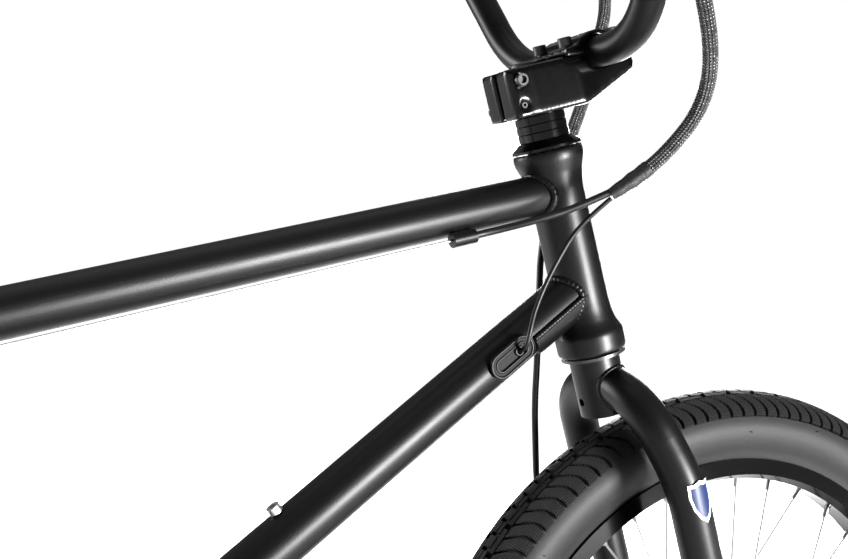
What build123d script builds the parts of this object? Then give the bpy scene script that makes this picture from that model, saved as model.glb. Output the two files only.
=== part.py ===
from build123d import *
import math
import os

# BMX bike: 20 inch wheels, steel frame, top-load stem, cable brakes.
# Origin on the ground, midway between the axles. +X forward, +Y to the rider's left, +Z up. Millimetres.
os.makedirs("parts", exist_ok=True)

# ---- driving dimensions: layout ----
WHEELBASE = 956.0
WHEEL_R = 260.0            # 20 x 2.25 tyre, outside radius
BB_HEIGHT = 295.0
CHAINSTAY = 375.0
HEAD_ANGLE = 74.7          # degrees from the ground
SEAT_ANGLE = 71.0
FORK_LENGTH = 315.4        # lower end of the head tube to the axle, along the steering axis
FORK_RAKE = 36.9
REST_STEER = -5.0          # the bars stand turned slightly to the right
HEAD_TUBE_L = 150.0
TOP_TUBE_SEAT = 119.0      # where the top tube's axis meets the steering axis
DOWN_TUBE_SEAT = 48.8
SEAT_CLUSTER = 279.0       # bottom bracket to the top tube's axis, along the seat tube

# ---- tubes ----
HEAD_R = 19.7
HEAD_RING_R = 25.2
HEAD_RING_H = 18.0
TOP_TUBE_R = 14.8
DOWN_TUBE_R = 16.7
SEAT_TUBE_R = 14.3
STAY_R = 9.0
SEATSTAY_R = 7.5
WALL = 1.6
BB_SHELL_R = 25.0
BB_SHELL_W = 68.0
REAR_OLD = 110.0           # over-locknut width of the rear hub
FRONT_OLD = 100.0
PLATE = 6.0                # dropout plate thickness

# ---- steering ----
STEERER_R = 14.3
CROWN_R = 18.5
CROWN_H = 46.0
LEG_R = 14.3
LEG_TIP_R = 10.0
LEG_C = 62.0
BAR_R = 11.1
CROSSBAR_R = 8.0
BAR_B = 42.0               # bar centre in front of the steering axis
BAR_A = 208.0              # bar centre above the head tube's lower end
BAR_RISE = 202.0
BAR_HALF = 370.0
GRIP_R = 15.0
GRIP_L = 122.0
COVER_TOP = 157.5
SPACER_R = 18.0
SPACERS = 3
STEM_W = 54.0
STEM_BASE = 175.0
STEM_TOP = 210.0

# ---- wheels ----
TYRE_W = 55.6
BEAD_R = 203.0
RIM_HEIGHT = 10.0
RIM_W = 36.0
SPOKE_R = 1.0
SPOKES = 36
FLANGE_R = 27.0            # spoke hole circle
ROTOR_R = 80.0
REAR_AXLE_R = 7.0
FRONT_AXLE_R = 5.0

# ---- drive ----
CHAIN_PITCH = 12.7
SPROCKET_TEETH = 25
COG_TEETH = 9
CHAINLINE = 48.0
CRANK_L = 175.0
SPINDLE_R = 9.5
CRANK_INNER = 58.0
CRANK_THICK = 17.0

# ---- clearances ----
RUN = 0.05                 # radial running clearance
FIT = 0.05                 # gap between pieces that only rest on each other
PAD_GAP = 2.0              # brake pad to rim at rest

# ---- derived layout ----
V = Vector
Y_AXIS = V(0, 1, 0)
HEAD_RAD = math.radians(HEAD_ANGLE)
SEAT_RAD = math.radians(SEAT_ANGLE)
HEAD_UP = V(-math.cos(HEAD_RAD), 0, math.sin(HEAD_RAD))
HEAD_FORE = V(math.sin(HEAD_RAD), 0, math.cos(HEAD_RAD))
FRONT_AXLE_STRAIGHT = V(WHEELBASE / 2, 0, WHEEL_R)
REAR_AXLE = V(-WHEELBASE / 2, 0, WHEEL_R)
HEAD_FOOT = FRONT_AXLE_STRAIGHT + HEAD_UP * FORK_LENGTH - HEAD_FORE * FORK_RAKE
FORE = HEAD_FORE.rotate(Axis((0, 0, 0), HEAD_UP), REST_STEER)
LEFT = HEAD_UP.cross(FORE)
HEAD = Plane(origin=HEAD_FOOT, x_dir=FORE, z_dir=HEAD_UP)
BB = V(REAR_AXLE.X + math.sqrt(CHAINSTAY**2 - (BB_HEIGHT - WHEEL_R) ** 2), 0, BB_HEIGHT)
SEAT_UP = V(-math.cos(SEAT_RAD), 0, math.sin(SEAT_RAD))
TOP_FRONT = HEAD_FOOT + HEAD_UP * TOP_TUBE_SEAT
TOP_REAR = BB + SEAT_UP * SEAT_CLUSTER
DOWN_FRONT = HEAD_FOOT + HEAD_UP * DOWN_TUBE_SEAT
TOP_DIR = (TOP_FRONT - TOP_REAR).normalized()
DOWN_DIR = (DOWN_FRONT - BB).normalized()


def at_head(fore, left, up):
    """Point given along the steered fore, left and up directions of the head tube."""
    return HEAD.from_local_coords(V(fore, left, up))


FRONT_AXLE = at_head(FORK_RAKE, 0, -FORK_LENGTH)


def spin(origin, direction, outline, mode=Mode.ADD):
    """Revolve a closed outline of (radius, height) points about an axis."""
    radial = Plane(origin=origin, z_dir=direction).x_dir
    profile = Plane(origin=origin, x_dir=radial, z_dir=radial.cross(direction))
    with BuildSketch(profile) as section:
        with BuildLine():
            Polyline(*outline, close=True)
        make_face()
    revolve(profiles=section.sketch, axis=Axis(origin, direction), mode=mode)


def rod(start, end, radius, bore=0.0, mode=Mode.ADD):
    """Straight round bar, or a tube when it has a bore, from point to point."""
    with BuildSketch(Plane(origin=start, z_dir=end - start)) as section:
        Circle(radius)
        if bore:
            Circle(bore, mode=Mode.SUBTRACT)
    extrude(to_extrude=section.sketch, amount=(end - start).length, mode=mode)


def bent(points, radii, radius, bore=0.0, mode=Mode.ADD):
    """Round bar or tube along straight runs joined by tangent arcs."""
    with BuildLine() as path:
        FilletPolyline(*points, radius=radii)
    wire = path.wire()
    with BuildSketch(Plane(origin=wire @ 0, z_dir=wire % 0)) as section:
        Circle(radius)
        if bore:
            Circle(bore, mode=Mode.SUBTRACT)
    sweep(sections=section.sketch, path=wire, mode=mode)


def cord_radii(points):
    """Arc at each corner: 0.45 of the shorter run over the tangent of half the turn."""
    radii = []
    for before, corner, after in zip(points, points[1:], points[2:]):
        run_in = corner - before
        run_out = after - corner
        half_turn = math.radians(run_in.get_angle(run_out)) / 2
        radii.append(0.45 * min(run_in.length, run_out.length) / math.tan(half_turn))
    return radii


def plate(plane, outline, thickness, round_r=0.0, holes=()):
    """Flat plate of a closed outline, centred on its plane, with round holes (x, y, radius)."""
    with BuildSketch(plane) as section:
        with BuildLine():
            Polyline(*outline, close=True)
        make_face()
        if round_r:
            fillet(section.vertices(), radius=round_r)
        for hole_x, hole_y, hole_r in holes:
            with Locations((hole_x, hole_y)):
                Circle(hole_r, mode=Mode.SUBTRACT)
    extrude(to_extrude=section.sketch, amount=thickness / 2, both=True)


def side_plane(y):
    """Plane with local x forward and local y up, at a distance to the left."""
    return Plane(origin=(0, y, 0), x_dir=(1, 0, 0), z_dir=(0, -1, 0))


# ==================== frame ====================

# Solid shapes that neighbouring tubes are coped against.
with BuildPart() as head_core:
    rod(HEAD_FOOT, HEAD_FOOT + HEAD_UP * HEAD_TUBE_L, HEAD_R)
with BuildPart() as seat_core:
    rod(BB, BB + SEAT_UP * (SEAT_CLUSTER + 60), SEAT_TUBE_R)
with BuildPart() as bb_core:
    rod(BB - Y_AXIS * BB_SHELL_W / 2, BB + Y_AXIS * BB_SHELL_W / 2, BB_SHELL_R)
with BuildPart() as down_core:
    rod(BB, DOWN_FRONT, DOWN_TUBE_R)
with BuildPart() as top_core:
    rod(TOP_REAR, TOP_FRONT, TOP_TUBE_R)

BEARING_R = 21.0
BEARING_H = 8.0
HEAD_BORE = STEERER_R + 1.6

# Head tube: hourglass with a flared ring and a bearing seat at each end.
with BuildPart() as head_tube:
    spin(
        HEAD_FOOT,
        HEAD_UP,
        [
            (BEARING_R, 0),
            (HEAD_RING_R - 0.8, 0),
            (HEAD_RING_R, 0.8),
            (HEAD_RING_R, HEAD_RING_H - 3),
            (HEAD_RING_R - 1.8, HEAD_RING_H),
            (HEAD_R + 1.6, HEAD_RING_H + 5),
            (HEAD_R + 0.4, HEAD_RING_H + 12),
            (HEAD_R, HEAD_RING_H + 20),
            (HEAD_R, HEAD_TUBE_L - 32),
            (HEAD_R + 0.5, HEAD_TUBE_L - 25),
            (HEAD_R + 2, HEAD_TUBE_L - 17),
            (HEAD_RING_R - 1.4, HEAD_TUBE_L - 11),
            (HEAD_RING_R, HEAD_TUBE_L - 7),
            (HEAD_RING_R, HEAD_TUBE_L - 0.8),
            (HEAD_RING_R - 0.8, HEAD_TUBE_L),
            (BEARING_R, HEAD_TUBE_L),
            (BEARING_R, HEAD_TUBE_L - BEARING_H),
            (HEAD_BORE, HEAD_TUBE_L - BEARING_H),
            (HEAD_BORE, BEARING_H),
            (BEARING_R, BEARING_H),
        ],
    )
head_tube.part.label = "head_tube"
export_step(head_tube.part, "parts/head_tube.step")

with BuildPart() as top_tube:
    rod(TOP_REAR, TOP_FRONT, TOP_TUBE_R, TOP_TUBE_R - WALL)
    add(head_core.part, mode=Mode.SUBTRACT)
    add(head_tube.part, mode=Mode.SUBTRACT)
    add(seat_core.part, mode=Mode.SUBTRACT)
top_tube.part.label = "top_tube"
export_step(top_tube.part, "parts/top_tube.step")

# Down tube, with the side port that the sensor wire enters by.
PORT = DOWN_FRONT - DOWN_DIR * 77
PORT_PLANE = Plane(origin=PORT - DOWN_DIR * 7 - Y_AXIS * DOWN_TUBE_R, x_dir=DOWN_DIR, z_dir=-Y_AXIS)
PORT_L = 38.0
PORT_W = 17.0
BOTTLE_SPAN = 64.0
DOWN_NORMAL = DOWN_DIR.cross(Y_AXIS) * -1
if DOWN_NORMAL.Z < 0:
    DOWN_NORMAL = DOWN_NORMAL * -1
BOTTLE_PLACES = [DOWN_FRONT - DOWN_DIR * (270 + step * BOTTLE_SPAN) for step in range(2)]
BOTTLE_BOLT_R = 2.5
with BuildPart() as down_tube:
    rod(BB, DOWN_FRONT, DOWN_TUBE_R, DOWN_TUBE_R - WALL)
    add(head_core.part, mode=Mode.SUBTRACT)
    add(head_tube.part, mode=Mode.SUBTRACT)
    add(bb_core.part, mode=Mode.SUBTRACT)
    add(top_core.part, mode=Mode.SUBTRACT)
    with BuildSketch(PORT_PLANE.offset(1)) as port_hole:
        SlotOverall(PORT_L - 4, PORT_W - 4)
    extrude(to_extrude=port_hole.sketch, amount=-6, mode=Mode.SUBTRACT)
    for place in BOTTLE_PLACES:
        surface = place + DOWN_NORMAL * (DOWN_TUBE_R + 1)
        rod(surface, place + DOWN_NORMAL * (DOWN_TUBE_R - 4), BOTTLE_BOLT_R + FIT, mode=Mode.SUBTRACT)
down_tube.part.label = "down_tube"
export_step(down_tube.part, "parts/down_tube.step")

SEAT_TUBE_TOP = SEAT_CLUSTER + 34
POST_R = 12.65
with BuildPart() as seat_tube:
    rod(BB, BB + SEAT_UP * SEAT_TUBE_TOP, SEAT_TUBE_R, POST_R + RUN)
    add(bb_core.part, mode=Mode.SUBTRACT)
    add(down_core.part, mode=Mode.SUBTRACT)
seat_tube.part.label = "seat_tube"
export_step(seat_tube.part, "parts/seat_tube.step")

BB_BEARING_R = 20.5
BB_BEARING_W = 10.0
with BuildPart() as bb_shell:
    rod(BB - Y_AXIS * BB_SHELL_W / 2, BB + Y_AXIS * BB_SHELL_W / 2, BB_SHELL_R, BB_BEARING_R)
bb_shell.part.label = "bb_shell"
export_step(bb_shell.part, "parts/bb_shell.step")

# Curved doubler under the front of the down tube.
GUSSET_L = 62.0
GUSSET_WALL = 2.2
with BuildPart() as down_tube_gusset:
    gusset_start = DOWN_FRONT - DOWN_DIR * GUSSET_L
    rod(gusset_start, DOWN_FRONT, DOWN_TUBE_R + FIT + GUSSET_WALL, DOWN_TUBE_R + FIT)
    add(head_core.part, mode=Mode.SUBTRACT)
    add(head_tube.part, mode=Mode.SUBTRACT)
    split(bisect_by=Plane(origin=DOWN_FRONT - DOWN_NORMAL * 2, z_dir=DOWN_NORMAL), keep=Keep.BOTTOM)
    with BuildSketch(Plane(origin=gusset_start - DOWN_NORMAL * DOWN_TUBE_R * 2, x_dir=DOWN_DIR,
                           z_dir=DOWN_NORMAL)) as notch:
        Circle(12)
    extrude(to_extrude=notch.sketch, amount=DOWN_TUBE_R * 1.6, mode=Mode.SUBTRACT)
down_tube_gusset.part.label = "down_tube_gusset"
export_step(down_tube_gusset.part, "parts/down_tube_gusset.step")

# Rear dropout plates with the axle slot, welded to the ends of the stays.
DROPOUT_Y = REAR_OLD / 2 + PLATE / 2
SLOT_L = 24.0
STAY_END = REAR_AXLE + V(34, 0, 3)
SEATSTAY_END = REAR_AXLE + V(20, 0, 42)


def chainstay_points(side):
    """Route of one chainstay, from the bottom bracket shell to its dropout."""
    return [
        BB + V(-10, side * 24, -2),
        BB + V(-85, side * 36, -6),
        STAY_END + V(60, side * (DROPOUT_Y - 5), 5),
        STAY_END + V(0, side * DROPOUT_Y, 0),
    ]


SEATSTAY_TOP = BB + SEAT_UP * (SEAT_CLUSTER - 12)


def seatstay_points(side):
    """Route of one seatstay, from the seat tube round the tyre to its dropout."""
    return [
        SEATSTAY_TOP + V(-2, side * 10, 0),
        SEATSTAY_TOP + V(-50, side * 40, -46),
        SEATSTAY_END + V(60, side * (DROPOUT_Y - 6), 60),
        SEATSTAY_END + V(0, side * DROPOUT_Y, 0),
    ]


CHAINSTAY_BENDS = [120, 160]
SEATSTAY_BENDS = [60, 160]
STAY_PLUG = 14.0
chainstay_parts = []
seatstay_parts = []
for side in (-1, 1):
    with BuildPart() as chainstay:
        bent(chainstay_points(side), CHAINSTAY_BENDS, STAY_R)
        add(bb_core.part, mode=Mode.SUBTRACT)
        add(seat_core.part, mode=Mode.SUBTRACT)
    chainstay_parts.append(chainstay.part)
    with BuildPart() as seatstay:
        bent(seatstay_points(side), SEATSTAY_BENDS, SEATSTAY_R)
        add(seat_core.part, mode=Mode.SUBTRACT)
    seatstay_parts.append(seatstay.part)

# Bosses on the seatstays that the rear brake arms turn on.
STAY_LINE = (seatstay_points(1)[1] - seatstay_points(1)[2]).normalized()
BOSS_DISTANCE = 52.0
BOSS_R = 4.0
BOSS_L = 21.0
RUN_UP = V(STAY_LINE.X, 0, STAY_LINE.Z).normalized()
BOSS_DIR = V(-RUN_UP.Z, 0, RUN_UP.X)
BOSS_ROOTS = {}
for side in (-1, 1):
    along_stay = V(STAY_LINE.X, side * STAY_LINE.Y, STAY_LINE.Z)
    BOSS_ROOTS[side] = seatstay_points(side)[2] + along_stay * BOSS_DISTANCE


def blind_bore(points):
    """Route of a stay's bore, which stops short of the closed end at the dropout."""
    return points[:-1] + [points[-1] - (points[-1] - points[-2]).normalized() * STAY_PLUG]


with BuildPart() as chainstays:
    for side, stay in zip((-1, 1), chainstay_parts):
        add(stay)
        bent(blind_bore(chainstay_points(side)), CHAINSTAY_BENDS, STAY_R - WALL, mode=Mode.SUBTRACT)
chainstays.part.label = "chainstays"
export_step(chainstays.part, "parts/chainstays.step")

with BuildPart() as seatstays:
    for side, stay in zip((-1, 1), seatstay_parts):
        add(stay)
        rod(BOSS_ROOTS[side], BOSS_ROOTS[side] + BOSS_DIR * (SEATSTAY_R + BOSS_L), BOSS_R)
        bent(blind_bore(seatstay_points(side)), SEATSTAY_BENDS, SEATSTAY_R - WALL, mode=Mode.SUBTRACT)
seatstays.part.label = "seatstays"
export_step(seatstays.part, "parts/seatstays.step")

with BuildPart() as rear_dropouts:
    for side in (-1, 1):
        plate(
            side_plane(side * DROPOUT_Y),
            [
                (REAR_AXLE.X - 20, REAR_AXLE.Z - 16),
                (STAY_END.X - 4, STAY_END.Z - 15),
                (STAY_END.X + 8, STAY_END.Z + 8),
                (SEATSTAY_END.X + 12, SEATSTAY_END.Z + 6),
                (SEATSTAY_END.X - 8, SEATSTAY_END.Z + 8),
                (REAR_AXLE.X - 20, REAR_AXLE.Z + 16),
            ],
            PLATE,
            round_r=4,
        )
        with BuildSketch(side_plane(side * DROPOUT_Y)) as axle_slot:
            with Locations((REAR_AXLE.X - SLOT_L / 2 + REAR_AXLE_R, REAR_AXLE.Z)):
                SlotOverall(SLOT_L + REAR_AXLE_R * 2, REAR_AXLE_R * 2 + 0.2)
        extrude(to_extrude=axle_slot.sketch, amount=PLATE, both=True, mode=Mode.SUBTRACT)
    for stay in chainstay_parts + seatstay_parts:
        add(stay, mode=Mode.SUBTRACT)
rear_dropouts.part.label = "rear_dropouts"
export_step(rear_dropouts.part, "parts/rear_dropouts.step")

# Sealed bearings: two in the head tube, two in the bottom bracket shell.
with BuildPart() as frame_bearings:
    for height in (0.4, HEAD_TUBE_L - BEARING_H):
        base = HEAD_FOOT + HEAD_UP * height
        rod(base, base + HEAD_UP * (BEARING_H - 0.4), BEARING_R - FIT, STEERER_R + RUN)
    for side in (-1, 1):
        outer = BB + Y_AXIS * side * BB_SHELL_W / 2
        rod(outer, outer - Y_AXIS * side * BB_BEARING_W, BB_BEARING_R - FIT, SPINDLE_R + RUN)
frame_bearings.part.label = "frame_bearings"
export_step(frame_bearings.part, "parts/frame_bearings.step")

# Rubber grommet in the side port, with a lip and a hole for the wire.
WIRE_R = 1.6
with BuildPart() as wire_grommet:
    with BuildSketch(PORT_PLANE.offset(-3.2)) as lip:
        SlotOverall(PORT_L, PORT_W)
    extrude(to_extrude=lip.sketch, amount=5.4)
    with BuildSketch(PORT_PLANE.offset(1)) as dish:
        SlotOverall(PORT_L - 8, PORT_W - 8)
    extrude(to_extrude=dish.sketch, amount=3, mode=Mode.SUBTRACT)
    port_mouth = PORT + V(0, -DOWN_TUBE_R, 0)
    rod(port_mouth - Y_AXIS * 8, port_mouth + Y_AXIS * 8, WIRE_R + FIT, mode=Mode.SUBTRACT)
    add(down_core.part, mode=Mode.SUBTRACT)
wire_grommet.part.label = "wire_grommet"
export_step(wire_grommet.part, "parts/wire_grommet.step")

# Cable stops: barrels on small feet, low on the right side of the top tube.
STOP_R = 5.0
STOP_L = 18.0
STOP_DROP = V(0, -0.62, -0.785).normalized()
STOP_OUT = TOP_TUBE_R + 6.2
STOP_FRONT = 88.0          # from the steering axis, along the top tube
STOP_REAR = (TOP_FRONT - TOP_REAR).length - 52
CABLE_R = 2.5
INNER_R = 0.8


def stop_centre(distance):
    """Centre of a cable stop at a distance behind the steering axis."""
    return TOP_FRONT - TOP_DIR * distance + STOP_DROP * STOP_OUT


with BuildPart() as cable_stops:
    for distance in (STOP_FRONT, STOP_REAR):
        centre = stop_centre(distance)
        rod(centre - TOP_DIR * STOP_L / 2, centre + TOP_DIR * STOP_L / 2, STOP_R, INNER_R + 0.4)
        foot_plane = Plane(origin=centre, x_dir=TOP_DIR, z_dir=STOP_DROP * -1)
        with BuildSketch(foot_plane.offset(INNER_R + 2)) as foot:
            Rectangle(STOP_L * 0.7, 5)
        extrude(to_extrude=foot.sketch, amount=STOP_R)
    add(top_core.part, mode=Mode.SUBTRACT)
cable_stops.part.label = "cable_stops"
export_step(cable_stops.part, "parts/cable_stops.step")

# Socket bolts in the two bottle bosses.
with BuildPart() as bottle_bolts:
    for place in BOTTLE_PLACES:
        surface = place + DOWN_NORMAL * (DOWN_TUBE_R + 0.6)
        rod(surface, surface + DOWN_NORMAL * 4.5, 4.6)
        rod(surface - DOWN_NORMAL * 4, surface, BOTTLE_BOLT_R)
        with BuildSketch(Plane(origin=surface + DOWN_NORMAL * 4.5, z_dir=DOWN_NORMAL)) as socket:
            RegularPolygon(2.2, 6)
        extrude(to_extrude=socket.sketch, amount=-2.5, mode=Mode.SUBTRACT)
bottle_bolts.part.label = "bottle_bolts"
export_step(bottle_bolts.part, "parts/bottle_bolts.step")

# ==================== seat ====================

CLAMP_H = 14.0
SEAT_TOP_POINT = BB + SEAT_UP * SEAT_TUBE_TOP
with BuildPart() as seat_clamp:
    clamp_base = SEAT_TOP_POINT - SEAT_UP * (CLAMP_H - 3)
    rod(clamp_base, clamp_base + SEAT_UP * CLAMP_H, SEAT_TUBE_R + 4.5, POST_R + FIT)
    with BuildSketch(Plane(origin=clamp_base, x_dir=(0, 1, 0), z_dir=SEAT_UP)) as ears:
        with Locations((0, SEAT_TUBE_R + 7)):
            Rectangle(18, 9)
    extrude(to_extrude=ears.sketch, amount=CLAMP_H - 3)
    rod(clamp_base - SEAT_UP, SEAT_TOP_POINT + SEAT_UP * FIT, SEAT_TUBE_R + FIT, mode=Mode.SUBTRACT)
    with BuildSketch(Plane(origin=clamp_base - SEAT_UP, x_dir=(0, 1, 0), z_dir=SEAT_UP)) as slit:
        with Locations((0, SEAT_TUBE_R + 6)):
            Rectangle(2, 14)
    extrude(to_extrude=slit.sketch, amount=CLAMP_H + 2, mode=Mode.SUBTRACT)
seat_clamp.part.label = "seat_clamp"
export_step(seat_clamp.part, "parts/seat_clamp.step")

POST_L = 190.0
POST_OUT = 105.0
POST_HEAD = SEAT_TOP_POINT + SEAT_UP * POST_OUT
RAIL_R = 3.5
RAIL_Y = 22.0
RAIL_L = 150.0
with BuildPart() as seatpost:
    rod(POST_HEAD - SEAT_UP * POST_L, POST_HEAD, POST_R, POST_R - 2)
    rod(POST_HEAD - SEAT_UP * 4, POST_HEAD + V(0, 0, 2), POST_R)
    head_block = POST_HEAD + V(0, 0, 9)
    plate(
        Plane(origin=head_block, x_dir=(1, 0, 0), z_dir=(0, 0, 1)),
        [(-21, -32), (21, -32), (21, 32), (-21, 32)],
        18,
        round_r=6,
    )
    for side in (-1, 1):
        rail_line = head_block + V(0, side * RAIL_Y, 0)
        rod(rail_line - V(30, 0, 0), rail_line + V(30, 0, 0), RAIL_R + FIT, mode=Mode.SUBTRACT)
seatpost.part.label = "seatpost"
export_step(seatpost.part, "parts/seatpost.step")

SADDLE_BASE = POST_HEAD.Z + 27
SADDLE_X = POST_HEAD.X + 12
with BuildPart() as saddle_rails:
    for side in (-1, 1):
        bent(
            [
                V(SADDLE_X - 95, side * 30, SADDLE_BASE),
                V(SADDLE_X - 88, side * 28, POST_HEAD.Z + 11),
                V(SADDLE_X - 62, side * RAIL_Y, POST_HEAD.Z + 9),
                V(SADDLE_X + 50, side * RAIL_Y, POST_HEAD.Z + 9),
                V(SADDLE_X + 92, side * 9, SADDLE_BASE),
            ],
            [8, 12, 25],
            RAIL_R,
        )
saddle_rails.part.label = "saddle_rails"
export_step(saddle_rails.part, "parts/saddle_rails.step")


def saddle_outline(grow):
    """Plan of the saddle: wide round tail and narrow nose."""
    with Locations((SADDLE_X - 78, 0)):
        Circle(52 + grow)
    with Locations((SADDLE_X - 10, 0)):
        Circle(38 + grow)
    with Locations((SADDLE_X + 110, 0)):
        Circle(17 + grow)
    make_hull()


with BuildPart() as saddle_shell:
    with BuildSketch(Plane.XY.offset(SADDLE_BASE)) as base_plan:
        saddle_outline(-3)
    extrude(to_extrude=base_plan.sketch, amount=7)
    add(saddle_rails.part, mode=Mode.SUBTRACT)
saddle_shell.part.label = "saddle_shell"
export_step(saddle_shell.part, "parts/saddle_shell.step")

PAD_TALL = 24.0
with BuildPart() as saddle_pad:
    with BuildSketch(Plane.XY.offset(SADDLE_BASE + 7.3)) as pad_plan:
        saddle_outline(0)
    extrude(to_extrude=pad_plan.sketch, amount=PAD_TALL)
    fillet(saddle_pad.faces().sort_by(Axis.Z)[-1].edges(), radius=12)
saddle_pad.part.label = "saddle_pad"
export_step(saddle_pad.part, "parts/saddle_pad.step")

# ==================== fork and steering ====================

HEAD_SIDE = Plane(origin=HEAD_FOOT, x_dir=FORE, z_dir=FORE.cross(HEAD_UP))


def head_plate(left):
    """Plane with local x fore and local y up the head, at a distance to the left."""
    return HEAD_SIDE.offset(-left)


RACE_H = 3.0
BORE = STEERER_R - 2.4
with BuildPart() as fork_crown:
    rod(at_head(0, 0, -CROWN_H), at_head(0, 0, -RACE_H), CROWN_R, BORE)
    rod(at_head(0, 0, -RACE_H), at_head(0, 0, STEM_TOP - 2), STEERER_R, BORE)
    rod(at_head(-CROWN_R - 5, 0, -CROWN_H + 12), at_head(0, 0, -CROWN_H + 12), 3, mode=Mode.SUBTRACT)
fork_crown.part.label = "fork_crown"
export_step(fork_crown.part, "parts/fork_crown.step")

with BuildPart() as crown_race:
    spin(
        HEAD_FOOT,
        HEAD_UP,
        [
            (STEERER_R + FIT, -RACE_H + FIT),
            (HEAD_RING_R - 1.5, -RACE_H + FIT),
            (HEAD_RING_R - 1.5, -0.8),
            (BEARING_R - 1, -0.8),
            (BEARING_R - 1, 0.35),
            (STEERER_R + FIT, 0.35),
        ],
    )
crown_race.part.label = "crown_race"
export_step(crown_race.part, "parts/crown_race.step")

LEG_TAPER = 42.0
LEG_FOOT = 292.0
LEG_B = 12.0
with BuildPart() as crown_core:
    rod(at_head(0, 0, -CROWN_H), at_head(0, 0, 0), CROWN_R)
with BuildPart() as fork_legs:
    for side in (-1, 1):
        bent(
            [
                at_head(3, 0, -21),
                at_head(3, side * 46, -37),
                at_head(LEG_B, side * LEG_C, -95),
                at_head(LEG_B, side * LEG_C, -LEG_FOOT + LEG_TAPER),
            ],
            [50, 140],
            LEG_R,
            LEG_R - WALL,
        )
        add(crown_core.part, mode=Mode.SUBTRACT)
        spin(
            at_head(LEG_B, side * LEG_C, -LEG_FOOT),
            HEAD_UP,
            [
                (0, 0),
                (LEG_TIP_R, 0),
                (LEG_R, LEG_TAPER),
                (LEG_R - WALL, LEG_TAPER),
                (LEG_TIP_R - WALL, 4),
                (0, 4),
            ],
        )
fork_legs.part.label = "fork_legs"
export_step(fork_legs.part, "parts/fork_legs.step")

FORK_PLATE_C = FRONT_OLD / 2 + PLATE / 2
CALIPER_B = -20.0
CALIPER_A = -268.0
ARM_PIVOT_R = 4.0
with BuildPart() as fork_dropouts:
    for side in (-1, 1):
        plate(
            head_plate(side * FORK_PLATE_C),
            [
                (FORK_RAKE - 16, -FORK_LENGTH - 16),
                (FORK_RAKE + 10, -FORK_LENGTH - 16),
                (FORK_RAKE + 17, -FORK_LENGTH - 4),
                (FORK_RAKE + 14, -FORK_LENGTH + 14),
                (LEG_B + 9, -LEG_FOOT + 34),
                (LEG_B - 9, -LEG_FOOT + 34),
                (LEG_B - 10, -LEG_FOOT - 4),
            ],
            PLATE,
            round_r=4,
            holes=[(FORK_RAKE, -FORK_LENGTH, FRONT_AXLE_R + 0.1)],
        )
    plate(
        head_plate(FORK_PLATE_C),
        [
            (LEG_B - 6, -LEG_FOOT - 2),
            (LEG_B - 6, -LEG_FOOT + 60),
            (CALIPER_B - 16, CALIPER_A + 34),
            (CALIPER_B - 20, CALIPER_A - 10),
        ],
        PLATE,
        round_r=3,
        holes=[(CALIPER_B, CALIPER_A, ARM_PIVOT_R + 3)],
    )
    add(fork_legs.part, mode=Mode.SUBTRACT)
    for side in (-1, 1):
        spin(
            at_head(LEG_B, side * LEG_C, -LEG_FOOT),
            HEAD_UP,
            [(0, 1), (LEG_TIP_R - 0.5, 1), (LEG_R - 0.5, LEG_TAPER), (LEG_R - 0.5, 120), (0, 120)],
            mode=Mode.SUBTRACT,
        )
fork_dropouts.part.label = "fork_dropouts"
export_step(fork_dropouts.part, "parts/fork_dropouts.step")

# Headset cover and spacers between the head tube and the stem.
COVER_BASE = HEAD_TUBE_L + 0.6
with BuildPart() as headset_cover:
    spin(
        HEAD_FOOT,
        HEAD_UP,
        [
            (STEERER_R + FIT, COVER_BASE),
            (HEAD_RING_R - 0.2, COVER_BASE),
            (HEAD_RING_R - 0.2, COVER_BASE + 1.8),
            (SPACER_R + 0.6, COVER_TOP),
            (STEERER_R + FIT, COVER_TOP),
        ],
    )
headset_cover.part.label = "headset_cover"
export_step(headset_cover.part, "parts/headset_cover.step")

SPACER_H = (STEM_BASE - COVER_TOP) / SPACERS
with BuildPart() as spacers:
    for step in range(SPACERS):
        low = COVER_TOP + SPACER_H * step
        spin(
            HEAD_FOOT,
            HEAD_UP,
            [
                (STEERER_R + FIT, low + 0.02),
                (SPACER_R - 0.4, low + 0.02),
                (SPACER_R, low + 0.42),
                (SPACER_R, low + SPACER_H - 0.42),
                (SPACER_R - 0.4, low + SPACER_H - 0.02),
                (STEERER_R + FIT, low + SPACER_H - 0.02),
            ],
        )
spacers.part.label = "spacers"
export_step(spacers.part, "parts/spacers.step")

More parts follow.
